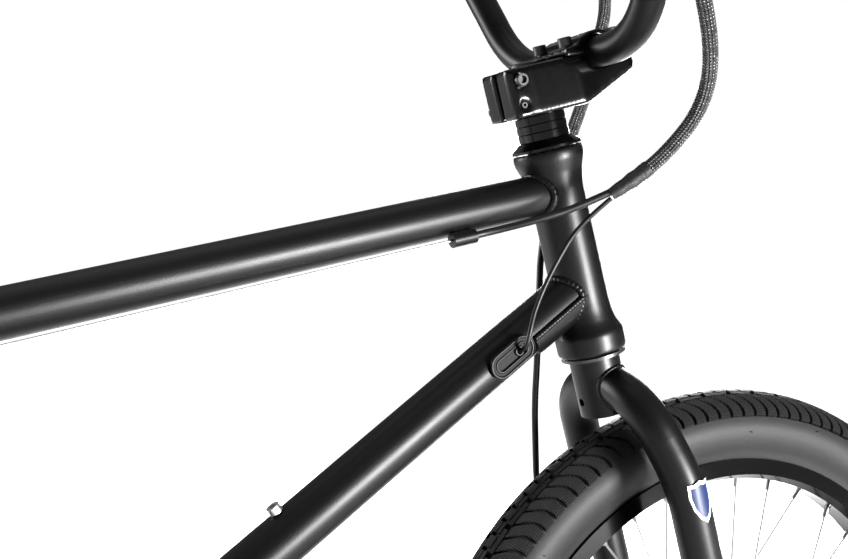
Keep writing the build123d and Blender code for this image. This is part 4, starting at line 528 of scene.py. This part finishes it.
# ---------------------------------------------------------------- headset and stem
# Headset cover, spacers, top-load stem with its clamp cap, hubs, levers and brake arms, of
# machined or forged aluminium. The stem clamps the steerer and is held by screws.
# Gloss black anodised aluminium: deep black with sharp reflections and a faint machined grain.
black_anodised, tree, shader = material("gloss_black_anodised_aluminium", "020202", 0.1, 0.0, IOR=1.24)
machined = fine_grain(tree, 300.0)
node(tree, "ShaderNodeMapRange", Value=machined, To_Min=0.13, To_Max=0.17, to=shader.inputs["Roughness"])
node(tree, "ShaderNodeBump", Height=machined, Distance=0.00001, to=shader.inputs["Normal"])
dress(black_anodised, "headset_cover", "spacers", "front_hub", "rear_hub", "pedal_left", "pedal_right",
      "sprocket")

# ---------------------------------------------------------------- handlebar
# Tall four-bend chromoly bar with a welded crossbar, ribbed grips and moulded end plugs.
bm = bmesh.new()
cross = [steered(38.85, side * 145.74, 335.26) for side in (-1, 1)]
for side, spot in zip((-1, 1), cross):
    low, high = steered(42, side * 84, 202), steered(37, side * 182, 410)
    weld_bead(bm, joint_line(spot, cross[0 if side == 1 else 1] - spot, 0.008, spot, high - low, 0.0111),
              0.0018)
finish_piece(bm, "crossbar_welds", "fork", powder_coat, 60)

# Moulded thermoplastic rubber: matt black, softly ribbed, slightly shiny on the ribs.
grip_rubber, tree, shader = material("moulded_grip_rubber", "0c0c0c", 0.58, IOR=1.35)
grain = fine_grain(tree, 600.0, detail=3.0)
node(tree, "ShaderNodeBump", Height=grain, Distance=0.00015, to=shader.inputs["Normal"])


def along(start, heading):
    """Matrix that puts local Z along a heading at a point."""
    return Matrix.Translation(start) @ heading.to_track_quat("Z", "Y").to_matrix().to_4x4()


def turned_ring(bm, outline, place, steps=48):
    """Spins a closed outline of (radius, height) in millimetres round local Z."""
    loop = [bm.verts.new((r / 1000, 0, z / 1000)) for r, z in outline]
    edges = [bm.edges.new((a, b)) for a, b in zip(loop, loop[1:] + loop[:1])]
    bmesh.ops.spin(bm, geom=loop + edges, cent=(0, 0, 0), axis=(0, 0, 1), angle=2 * math.pi,
                   steps=steps, use_merge=True)
    verts = set(loop)
    grow = list(verts)
    while grow:
        v = grow.pop()
        for edge in v.link_edges:
            other = edge.other_vert(v)
            if other not in verts:
                verts.add(other)
                grow.append(other)
    bmesh.ops.remove_doubles(bm, verts=list(verts), dist=0.000001)
    verts = [v for v in verts if v.is_valid]
    bmesh.ops.transform(bm, matrix=place, verts=verts)
    return verts


def grip_outline():
    """Half section of a grip: 24 ribs between a plain end and a round flange."""
    points = [(11.2, 0), (14.6, 0), (15, 1.2)]
    for k in range(24):
        low = 7 + k * 4.2
        points += [(13.6, low), (14.9, low + 0.9), (14.9, low + 2.3), (13.6, low + 3.2)]
    return points + [(13.6, 112), (15, 115), (20.4, 117.6), (21, 119.4), (20.4, 121.4), (11.2, 122)]


bm = bmesh.new()
for end, inward in ((mm(300.26, 366.85, 967.58), Vector((0.0084, -0.99977, -0.01967))),
                    (mm(238.05, -370.34, 950.56), Vector((0.17581, 0.98408, 0.02613)))):
    turned_ring(bm, grip_outline(), along(end, inward), 40)
bmesh.ops.recalc_face_normals(bm, faces=bm.faces)
finish_piece(bm, "ribbed_grips", "fork", grip_rubber, 50, ("grips",))
plug_plastic, tree, shader = material("moulded_black_nylon", "0b0b0b", 0.5, IOR=1.35)
grain = fine_grain(tree, 900.0)
node(tree, "ShaderNodeBump", Height=grain, Distance=0.0001, to=shader.inputs["Normal"])
dress(plug_plastic, "bar_plugs", "saddle_shell")

# ---------------------------------------------------------------- wheels
# Wheels of 36 stainless spokes crossed between the hub and a welded aluminium rim, with
# 2.25 inch tyres on the rims.
# Polished black rim: near-mirror black, its gloss slightly uneven.
rim_black, tree, shader = material("polished_black_anodised_rim", "020202", 0.12, IOR=1.14)
track = fine_grain(tree, 60.0)
node(tree, "ShaderNodeMapRange", Value=track, To_Min=0.1, To_Max=0.15, to=shader.inputs["Roughness"])
dress(rim_black, "front_rim", "rear_rim")
dress(zinc_plate, "front_rotor", "rear_cog")

# Tyres: moulded rubber with a fabric-grained sidewall, long curved side blocks and a
# staggered centre. Block tops carry a fine square grid from the mould, drawn at 1.7 mm,
# coarser than it is, so that it shows; its sunk lines carry painted shade, black against
# the lighter tops.
GRID_PITCH = 0.0017
tyre_side, tree, shader = material("tyre_sidewall_rubber", "101010", 0.55, IOR=1.22)
casing = fine_grain(tree, 420.0, detail=3.0)
node(tree, "ShaderNodeMix", {"data_type": "RGBA"}, to=shader.inputs["Base Color"],
     Factor=casing, A=paint("0b0b0b"), B=paint("131313"))
node(tree, "ShaderNodeBump", Height=casing, Distance=0.0001, to=shader.inputs["Normal"])
tyre_block, tree, shader = material("tyre_tread_rubber", "0c0c0c", 0.5, IOR=1.2)
uv = node(tree, "ShaderNodeUVMap").outputs["UV"]
axes = node(tree, "ShaderNodeSeparateXYZ", Vector=uv)
lines = []
for way in ("X", "Y"):
    scaled = node(tree, "ShaderNodeMath", {"operation": "MULTIPLY"}, i0=axes.outputs[way],
                  i1=2 * math.pi / GRID_PITCH)
    lines.append(node(tree, "ShaderNodeMath", {"operation": "SINE"}, i0=scaled.outputs[0]))
grid = node(tree, "ShaderNodeMath", {"operation": "MAXIMUM"}, i0=lines[0].outputs[0], i1=lines[1].outputs[0])
groove_and_shade = node(tree, "ShaderNodeMapRange", Value=grid.outputs[0], From_Min=-0.1, From_Max=0.8)
# Painted shade: the grid's sunk lines are black in the base colour, the block tops lighter.
node(tree, "ShaderNodeMix", {"data_type": "RGBA"}, to=shader.inputs["Base Color"],
     Factor=groove_and_shade.outputs[0], A=paint("1c1c1c"), B=paint("000000"))
sunk = node(tree, "ShaderNodeMath", {"operation": "SUBTRACT"}, i0=1.0, i1=groove_and_shade.outputs[0])
node(tree, "ShaderNodeBump", Height=sunk.outputs[0], Distance=0.0009, to=shader.inputs["Normal"])

SECTION_R = 27.8                 # outside of the tread, round the casing's centre
CROWN_R = 260 - SECTION_R
BASE_R = 24.3
PITCHES = 136
PITCH_TURN = 2 * math.pi / PITCHES


def on_tyre(turn_by, lean, height):
    """Point at an angle round the wheel and across the casing, at a distance from its centre."""
    out = CROWN_R + height * math.cos(lean)
    return Vector((out * math.cos(turn_by), out * math.sin(turn_by), height * math.sin(lean))) / 1000


def tread_block(bm, layer, rows, top=SECTION_R):
    """One raised block from rows of (lean, first turn, last turn); its sides taper to the casing."""
    caps, feet = [], []
    for lean, first, last in rows:
        caps.append([bm.verts.new(on_tyre(t, lean, top)) for t in (first, last)])
        feet.append([bm.verts.new(on_tyre(t, lean, BASE_R)) for t in (first - 0.0006, last + 0.0006)])
    faces = []
    for a, b, c, d in zip(caps, caps[1:], feet, feet[1:]):
        faces += [(a[0], a[1], b[1], b[0]), (a[0], b[0], d[0], c[0]), (b[1], a[1], c[1], d[1])]
    faces += [(caps[0][1], caps[0][0], feet[0][0], feet[0][1]),
              (caps[-1][0], caps[-1][1], feet[-1][1], feet[-1][0])]
    for corners in faces:
        face = bm.faces.new(corners)
        for loop in face.loops:
            spot = loop.vert.co
            turned = math.atan2(spot.y, spot.x)
            lean = math.atan2(spot.z, math.hypot(spot.x, spot.y) - CROWN_R / 1000)
            loop[layer].uv = (turned * 0.26, lean * SECTION_R / 1000)


def tread(bm):
    """Two pitches of tread, then spun round the tyre."""
    layer = bm.loops.layers.uv.verify()
    gap = PITCH_TURN * 0.12
    for side in (-1, 1):
        for step in range(2):
            start = step * PITCH_TURN + (0 if side < 0 else PITCH_TURN / 2)
            rows = []
            for k in range(8):
                share = k / 7
                lean = math.radians(22 + 44 * share)
                sweep = PITCH_TURN * (0.95 * math.sin(share * 1.9) - 0.1 * share)
                rows.append((side * lean, start + gap + sweep, start + PITCH_TURN - gap + sweep))
            tread_block(bm, layer, rows)
        half = 2 * PITCH_TURN
        start = -PITCH_TURN * (0.25 if side < 0 else 1.25)
        rows = [(side * math.radians(angle), start + gap * 1.6, start + half - gap * 1.6) for angle in (11.2,
                                                                                                        15,
                                                                                                        19)]
        tread_block(bm, layer, rows, SECTION_R - 0.1)
    rows = [(math.radians(angle), gap, PITCH_TURN - gap) for angle in (-8.4, -4.2, 0, 4.2, 8.4)]
    tread_block(bm, layer, rows)
    rows = [(math.radians(angle), PITCH_TURN + gap, 2 * PITCH_TURN - gap) for angle in (-8.4, -4.6, -1.2)]
    tread_block(bm, layer, rows)
    rows = [(math.radians(angle), PITCH_TURN + gap, 2 * PITCH_TURN - gap) for angle in (1.2, 4.6, 8.4)]
    tread_block(bm, layer, rows)
    bmesh.ops.recalc_face_normals(bm, faces=bm.faces)
    bmesh.ops.spin(bm, geom=bm.verts[:] + bm.edges[:] + bm.faces[:], cent=(0, 0, 0), axis=(0, 0, 1),
                   angle=2 * math.pi - 2 * PITCH_TURN, steps=PITCHES // 2 - 1, use_duplicate=True)


def casing_outline():
    """Closed section of the casing, from bead to bead and back inside."""
    outside = [(math.radians(a), BASE_R + (0.25 if abs(a) < 76 else 0.6)) for a in range(-128, 129, 8)]
    outer = [(CROWN_R + r * math.cos(a), r * math.sin(a)) for a, r in outside]
    inner = [(CROWN_R + (r - 3) * math.cos(a), (r - 3) * math.sin(a)) for a, r in reversed(outside)]
    return [p for p in outer if p[0] > 209.2] + [(208.9, 15.2), (204, 15.4), (204, 12), (210, 12)] + [
        p for p in inner if p[0] > 211] + [(210, -12), (204, -12), (204, -15.4), (208.9, -15.2)]


def vents(bm, side):
    """Short curled rubber threads left by the mould's vents on the sidewall."""
    for k in range(18):
        turned = 2 * math.pi * (k + 0.37 * math.sin(7.3 * k)) / 18
        lean = math.radians(side * (84 + 9 * math.sin(3.7 * k)))
        line = [on_tyre(turned + 0.0022 * s * math.sin(2.1 * k), lean, BASE_R + 0.4 + 1.7 * math.sin(0.9 * s))
                + Vector((0, 0, side * 0.0002 * s)) for s in range(4)]
        tube_on(bm, line, 0.00035, 5)


FRONT_AXLE, REAR_AXLE = mm(477.865, -3.216, 259.963), mm(-478, 0, 260)
WHEELS = (("front", FRONT_AXLE, FORE, LEFT), ("rear", REAR_AXLE, Vector((1, 0, 0)), AXLE_WAY))
for wheel, centre, ahead_way, axle_way in WHEELS:
    stand = Matrix((ahead_way, axle_way.cross(ahead_way), axle_way)).transposed().to_4x4()
    stand = Matrix.Translation(centre) @ stand
    bm = bmesh.new()
    turned_ring(bm, casing_outline(), Matrix.Identity(4), 144)
    for side in (-1, 1):
        vents(bm, side)
    bmesh.ops.recalc_face_normals(bm, faces=bm.faces)
    bmesh.ops.transform(bm, matrix=stand, verts=bm.verts)
    finish_piece(bm, wheel + "_tyre_casing", wheel + "_wheel", tyre_side, 40,
                 (wheel + "_tyre",))
    bm = bmesh.new()
    tread(bm)
    bmesh.ops.transform(bm, matrix=stand, verts=bm.verts)
    finish_piece(bm, wheel + "_tyre_tread", wheel + "_wheel", tyre_block, 40,
                 (wheel + "_tyre",))

# ---------------------------------------------------------------- forged and machined parts
# Stem, levers, brake arms, cranks, dropouts and clamps. The cut ones get the small rounds
# of real edges; the stem and the head tube are forgings, soft all over.
def softened(cad_node, body, width, finish, segments=3):
    """Rounded-edge piece made from a merged copy of a CAD node."""
    bm = bmesh.new()
    bm.from_mesh(nodes[cad_node].data)
    bmesh.ops.remove_doubles(bm, verts=bm.verts, dist=0.00002)
    bmesh.ops.dissolve_limit(bm, angle_limit=math.radians(0.6), verts=bm.verts, edges=bm.edges)
    piece = finish_piece(bm, cad_node + "_rounded", body, finish, 40, (cad_node,))
    rounding = piece.modifiers.new("edge_round", "BEVEL")
    rounding.width = width / 1000
    rounding.segments = segments
    rounding.limit_method = "ANGLE"
    rounding.angle_limit = math.radians(34)
    rounding.harden_normals = True
    rounding.use_clamp_overlap = True
    return piece


SMOOTHING = {"factor": 0.5, "use_axis_x": True, "use_axis_y": True, "use_axis_z": True}


def forged(cad_node, body, finish, grid, passes):
    """Forging with soft edges, made from a fine regular mesh of a CAD node."""
    bm = bmesh.new()
    bm.from_mesh(nodes[cad_node].data)
    bmesh.ops.remove_doubles(bm, verts=bm.verts, dist=0.00002)
    piece = finish_piece(bm, cad_node + "_forging", body, finish, 0, (cad_node,))
    remesh = piece.modifiers.new("voxels", "REMESH")
    remesh.mode = "VOXEL"
    remesh.voxel_size = grid / 1000
    with bpy.context.temp_override(object=piece, active_object=piece, selected_objects=[piece]):
        bpy.ops.object.modifier_apply(modifier="voxels")
    bm = bmesh.new()
    bm.from_mesh(piece.data)
    for step in range(passes):
        bmesh.ops.smooth_vert(bm, verts=bm.verts, **SMOOTHING)
    bm.to_mesh(piece.data)
    bm.free()
    piece.data.shade_smooth()
    return piece


forged("stem_body", "fork", black_anodised, 0.8, 30)
forged("stem_cap", "fork", black_anodised, 0.7, 10)
forged("head_tube", "frame", powder_coat, 0.9, 16)

# Socket head cap screws of black oxide steel: four hold the cap, two pinch the steerer.
CAP_SCREW_FORE, CAP_SCREW_LEFT, CAP_SHOULDER = (22.5, 61.5), 17, 216.4
PINCH_FORE, PINCH_UP, EAR_FACE, NUT_FACE = -21.5, (184, 201), 21.1, 16
STEM_TOP = 210
bm = bmesh.new()
for fore in CAP_SCREW_FORE:
    for side in (-1, 1):
        screw = [(0.05, -7), (2.5, -7), (2.5, 0), (4.9, 0), (4.9, 5.8), (4.3, 6.5), (2.8, 6.5), (2.6, 6.1),
                 (2.6, 1.8), (0.05, 1.8)]
        turned_ring(bm, screw, along(steered(fore, side * CAP_SCREW_LEFT, CAP_SHOULDER), STEER_UP), 24)
for side, height in zip((1, -1), PINCH_UP):
    for way, head in ((side, True), (-side, False)):
        foot = steered(PINCH_FORE, way * (EAR_FACE if head else NUT_FACE), height)
        screw = [(0.05, -8), (2.5, -8), (2.5, 0), (4.4, 0), (4.4, 3.9), (3.9, 4.5), (2.7, 4.5), (2.5, 4.1),
                 (2.5, 1.6), (0.05, 1.6)]
        if not head:
            screw = [(0.05, -2), (2.4, -2), (2.4, 3.5), (2.0, 4.2), (1.2, 4.2), (1.0, 2), (0.05, 2)]
        turned_ring(bm, screw, along(foot, LEFT * way), 24)
top_cap = [(0.05, -12), (2.5, -12), (2.5, 0.1), (13.5, 0.1), (13.5, 2.2), (12.6, 3), (4.2, 3), (4, 1),
           (0.05, 1)]
turned_ring(bm, top_cap, along(steered(0, 0, STEM_TOP), STEER_UP), 48)
bmesh.ops.recalc_face_normals(bm, faces=bm.faces)
finish_piece(bm, "stem_screws", "fork", black_oxide, 35, ("stem_bolts",))
for part, width in (("lever_clamps", 1.0), ("front_caliper", 1.0)):
    softened(part, "fork", width, black_anodised)
softened("front_brake_arm", "caliper_arm", 0.8, black_anodised)
softened("brake_lever_left", "left_lever", 1.6, black_anodised)
softened("brake_lever_right", "right_lever", 1.6, black_anodised)
softened("rear_brake_arm_left", "left_brake_arm", 0.9, black_anodised)
softened("rear_brake_arm_right", "right_brake_arm", 0.9, black_anodised)
softened("crank_arms", "crank", 1.6, powder_coat)
softened("rear_dropouts", "frame", 0.8, powder_coat)
softened("fork_dropouts", "fork", 0.8, powder_coat)
softened("seat_clamp", "frame", 0.8, black_anodised)

# ---------------------------------------------------------------- saddle
# Padded cover of woven polyester over foam, stretched on a nylon base and piped at its rim.
# The cushion is swelled by cloth simulation from a slightly smaller shape.
# Woven polyester: 0.5 mm threads drawn as a 1.4 mm basket weave, with a soft sheen.
WEAVE_PITCH = 0.0014
seat_cloth, tree, shader = material("woven_polyester_cover", "17181a", 0.8, Sheen_Weight=0.3,
                                    Sheen_Roughness=0.4)
place = node(tree, "ShaderNodeTexCoord").outputs["Object"]
where = node(tree, "ShaderNodeSeparateXYZ", Vector=place)
threads = []
for way in ("X", "Y"):
    scaled = node(tree, "ShaderNodeMath", {"operation": "MULTIPLY"}, i0=where.outputs[way],
                  i1=2 * math.pi / WEAVE_PITCH)
    threads.append(node(tree, "ShaderNodeMath", {"operation": "SINE"}, i0=scaled.outputs[0]))
basket = node(tree, "ShaderNodeMath", {"operation": "MULTIPLY"}, i0=threads[0].outputs[0],
              i1=threads[1].outputs[0])
shade = node(tree, "ShaderNodeMapRange", Value=basket.outputs[0], From_Min=-1.0, From_Max=1.0)
node(tree, "ShaderNodeMix", {"data_type": "RGBA"}, to=shader.inputs["Base Color"],
     Factor=shade.outputs[0], A=paint("121214"), B=paint("232428"))
node(tree, "ShaderNodeBump", Height=basket.outputs[0], Distance=0.0003, to=shader.inputs["Normal"])
bm = bmesh.new()
bm.from_mesh(nodes["saddle_pad"].data)
bmesh.ops.remove_doubles(bm, verts=bm.verts, dist=0.00002)
low_corner, high_corner = (Vector(c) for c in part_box("saddle_pad"))
middle = (low_corner + high_corner) / 2
SWELL_MOST = 0.006
for v in bm.verts:
    v.co = middle + (v.co - middle) * 0.96
pad = finish_piece(bm, "saddle_cushion", None, seat_cloth, 0)
bpy.context.view_layer.objects.active = pad
remesh = pad.modifiers.new("voxels", "REMESH")
remesh.mode = "VOXEL"
remesh.voxel_size = 0.0045
with bpy.context.temp_override(object=pad, active_object=pad, selected_objects=[pad]):
    bpy.ops.object.modifier_apply(modifier="voxels")
still = [v.co.copy() for v in pad.data.vertices]
cloth = pad.modifiers.new("cloth", "CLOTH")
cloth.settings.use_pressure = True
cloth.settings.uniform_pressure_force = 4
cloth.settings.effector_weights.gravity = 0
for frame_number in range(1, 21):
    bpy.context.scene.frame_set(frame_number)
settled = pad.evaluated_get(bpy.context.evaluated_depsgraph_get()).to_mesh()
swollen = [v.co.copy() for v in settled.vertices]
pad.modifiers.remove(cloth)
bpy.context.scene.frame_set(1)
for v, old, new in zip(pad.data.vertices, still, swollen):
    move = new - old
    if move.length > SWELL_MOST:
        move = move.normalized() * SWELL_MOST
    v.co = old + move
bm = bmesh.new()
bm.from_mesh(pad.data)
for step in range(6):
    bmesh.ops.smooth_vert(bm, verts=bm.verts, **SMOOTHING)
crown = high_corner + Vector((0, 0, 0.004))
for v in bm.verts:
    v.co = Vector(min(max(c, low), high) for c, low, high in zip(v.co, low_corner, crown))
bm.to_mesh(pad.data)
bm.free()
pad.data.shade_smooth()
pad.modifiers.new("fine", "SUBSURF").levels = 1
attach(pad, "frame")
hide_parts("saddle_pad")

# Sewn piping: a cloth-covered cord round the foot of the cushion.
bm = bmesh.new()
foot_height = low_corner.z + 0.006
edge = {}
for v in pad.data.vertices:
    if abs(v.co.z - foot_height) < 0.004:
        key = round(math.atan2(v.co.y * 2, v.co.x - middle.x) * 20 / math.pi)
        if key not in edge or (v.co - middle).length > (edge[key] - middle).length:
            edge[key] = Vector((v.co.x, v.co.y, foot_height))
line = [edge[key] for key in sorted(edge) if key < 20]
for step in range(3):
    line = [(line[i - 1] + line[i] * 2 + line[(i + 1) % len(line)]) / 4 for i in range(len(line))]
tube_on(bm, line, 0.0019, 10, closed=True)
bmesh.ops.recalc_face_normals(bm, faces=bm.faces)
finish_piece(bm, "saddle_piping", "frame", seat_cloth, 60)

# ---------------------------------------------------------------- chain
# Half-inch single-speed chain: waisted outer and inner plates of pressed steel, riveted
# on pins that carry the rollers.
# Oiled steel: dark brown-grey plates with a dull wet gloss.
oiled_steel, tree, shader = material("oiled_chain_steel", "5b5854", 0.36, 0.9)
film = fine_grain(tree, 320.0, detail=3.0)
node(tree, "ShaderNodeMix", {"data_type": "RGBA"}, to=shader.inputs["Base Color"],
     Factor=film, A=paint("3b3937"), B=paint("77736d"))
FRONT_PITCH_R, REAR_PITCH_R, CHAIN_Y = 0.05066, 0.01857, -0.048
front, back = Vector((-0.10464, 0, 0.295)), Vector((-0.478, 0, 0.26))
span = front - back
tilt = math.acos((FRONT_PITCH_R - REAR_PITCH_R) / span.length)
base_angle = math.atan2(span.z, span.x)
runs, straight = [], math.sqrt(span.length ** 2 - (FRONT_PITCH_R - REAR_PITCH_R) ** 2)
front_wrap, rear_wrap = 2 * (math.pi - tilt), 2 * tilt
total = 2 * straight + FRONT_PITCH_R * front_wrap + REAR_PITCH_R * rear_wrap
links = 2 * round(total / 0.0127 / 2)


def on_chain(distance):
    """Point on the chain's pitch line at a distance from where it meets the chainring on top."""
    distance %= total
    wrap = FRONT_PITCH_R * front_wrap
    if distance < wrap:
        angle = base_angle + math.pi - tilt - distance / FRONT_PITCH_R
        return front + Vector((math.cos(angle), 0, math.sin(angle))) * FRONT_PITCH_R
    low = base_angle - math.pi + tilt
    high = base_angle + math.pi - tilt
    arc = Vector((math.cos(low), 0, math.sin(low)))
    distance -= wrap
    if distance < straight:
        return (front + arc * FRONT_PITCH_R).lerp(back + arc * REAR_PITCH_R, distance / straight)
    distance -= straight
    if distance < REAR_PITCH_R * rear_wrap:
        angle = low - distance / REAR_PITCH_R
        return back + Vector((math.cos(angle), 0, math.sin(angle))) * REAR_PITCH_R
    distance -= REAR_PITCH_R * rear_wrap
    arc = Vector((math.cos(high), 0, math.sin(high)))
    return (back + arc * REAR_PITCH_R).lerp(front + arc * FRONT_PITCH_R, distance / straight)


bm = bmesh.new()
for k in range(links):
    a, b = on_chain(total * k / links), on_chain(total * (k + 1) / links)
    way = (b - a).normalized()
    up = Vector((-way.z, 0, way.x))
    middle = (a + b) / 2
    half = (b - a).length / 2
    offset = 0.0037 if k % 2 else 0.0026
    for side in (-1, 1):
        outline = []
        for x, z in (
            (half + 0.0039, 0), (half + 0.0026, 0.003), (half, 0.0041), (half * 0.5, 0.0035), (0, 0.0029),
            (-half * 0.5, 0.0035), (-half, 0.0041), (-half - 0.0026, 0.003), (-half - 0.0039, 0),
            (-half - 0.0026, -0.003), (-half, -0.0041), (-half * 0.5, -0.0035), (0, -0.0029),
            (half * 0.5, -0.0035), (half, -0.0041), (half + 0.0026, -0.003),
        ):
            spot = middle + way * x + up * z
            outline.append(bm.verts.new((spot.x, CHAIN_Y + side * offset, spot.z)))
        face = bm.faces.new(outline)
        grown = bmesh.ops.extrude_face_region(bm, geom=[face])
        bmesh.ops.translate(bm, vec=(0, side * 0.001, 0),
                            verts=[g for g in grown["geom"] if isinstance(g, bmesh.types.BMVert)])
    for radius, length in ((0.0038, 0.0048), (0.0018, 0.0106)):
        bmesh.ops.create_cone(bm, cap_ends=True, segments=12, radius1=radius, radius2=radius, depth=length,
                              matrix=Matrix.Translation((a.x, CHAIN_Y, a.z)) @ Matrix.Rotation(math.pi / 2,
                                                                                               4, "X"))
bmesh.ops.recalc_face_normals(bm, faces=bm.faces)
finish_piece(bm, "chain_links", "frame", oiled_steel, 30, ("chain",))

# ---------------------------------------------------------------- pedal pins and tyre valves
# Cropped steel traction pins screwed into both faces of the pedal bodies, and tyre valves
# with moulded caps through the rims.
PEDAL_HEIGHT = 0.295
for cad_node, body, pedal_x in (("pedal_left", "left_pedal", -0.27964),
                                ("pedal_right", "right_pedal", 0.07036)):
    low, high = (Vector(c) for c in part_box(cad_node))
    bm = bmesh.new()
    for across in (0.1, 0.36, 0.64, 0.9):
        for fore in (-1, 1):
            for face in (-1, 1):
                spot = Vector((pedal_x + fore * (high.x - low.x) * 0.44,
                               low.y + (high.y - low.y) * across,
                               PEDAL_HEIGHT + face * (high.z - low.z) * 0.36))
                bmesh.ops.create_cone(bm, cap_ends=True, segments=8, radius1=0.0022, radius2=0.0019,
                                      depth=0.0042,
                                      matrix=Matrix.Translation(spot))
    finish_piece(bm, body + "_pins", body, black_oxide, 40)
for wheel, centre, ahead_way, axle_way in WHEELS:
    bm = bmesh.new()
    foot = centre + (ahead_way * math.cos(2.2) + axle_way.cross(ahead_way) * math.sin(2.2)) * 0.196
    inward = (centre - foot).normalized()
    stem = [(0.05, -3), (3.2, -3), (3.2, 4), (2.6, 6), (2.6, 24), (4, 25), (4, 33), (3.2, 35), (0.05, 35)]
    turned_ring(bm, stem, along(foot, inward), 16)
    bmesh.ops.recalc_face_normals(bm, faces=bm.faces)
    finish_piece(bm, wheel + "_valve", wheel + "_wheel", plug_plastic, 40)

# ---------------------------------------------------------------- floor and lights
# Pale seamless floor that glows a little, as a lit sweep does, and soft lamps on the right,
# above, behind and on the left, in a white room that is darkest at eye level.
bpy.ops.mesh.primitive_plane_add(size=60)
floor = bpy.context.object
floor.name = "floor"
floor_white, tree, shader = material("matt_white_floor", "f6f6f6", 0.9, Emission_Strength=0.72)
shader.inputs["Emission Color"].default_value = (1, 1, 1, 1)
floor.data.materials.append(floor_white)


def lamp(name, place, target, size, power):
    """Square soft lamp aimed at a point."""
    data = bpy.data.lights.new(name, "AREA")
    data.shape = "SQUARE"
    data.size = size
    data.energy = power
    light = bpy.data.objects.new(name, data)
    bpy.context.scene.collection.objects.link(light)
    heading = Vector(target) - Vector(place)
    light.matrix_world = Matrix.Translation(place) @ heading.to_track_quat("-Z", "Y").to_matrix().to_4x4()


lamp("right_softbox", (1.0, -1.8, 0.32), (0.25, 0, 0.6), 0.5, 290)
lamp("top_softbox", (-0.2, 0.1, 3.0), (0, 0, 0.4), 2.2, 20)
lamp("back_softbox", (-1.7, 2.1, 1.0), (0, 0, 0.5), 1.2, 120)
lamp("left_softbox", (1.9, 1.9, 0.9), (0, 0, 0.5), 1.2, 90)
world = bpy.data.worlds.new("studio")
bpy.context.scene.world = world
world.use_nodes = True
tree = world.node_tree
sky = node(tree, "ShaderNodeTexCoord")
up = node(tree, "ShaderNodeSeparateXYZ", Vector=sky.outputs["Generated"])
raised = node(tree, "ShaderNodeMath", {"operation": "ABSOLUTE"}, i0=up.outputs["Z"])
dome = node(tree, "ShaderNodeMapRange", Value=raised.outputs[0], From_Min=0.12, From_Max=0.9, To_Min=0.03,
            To_Max=0.6)
rays = node(tree, "ShaderNodeLightPath")
seen = node(tree, "ShaderNodeMix", {"data_type": "FLOAT"}, Factor=rays.outputs["Is Camera Ray"],
            A=dome.outputs[0], B=1.02)
tree.links.new(seen.outputs[0], tree.nodes["Background"].inputs["Strength"])
tree.nodes["Background"].inputs["Color"].default_value = (1, 1, 1, 1)
bpy.context.scene.view_settings.view_transform = "Standard"
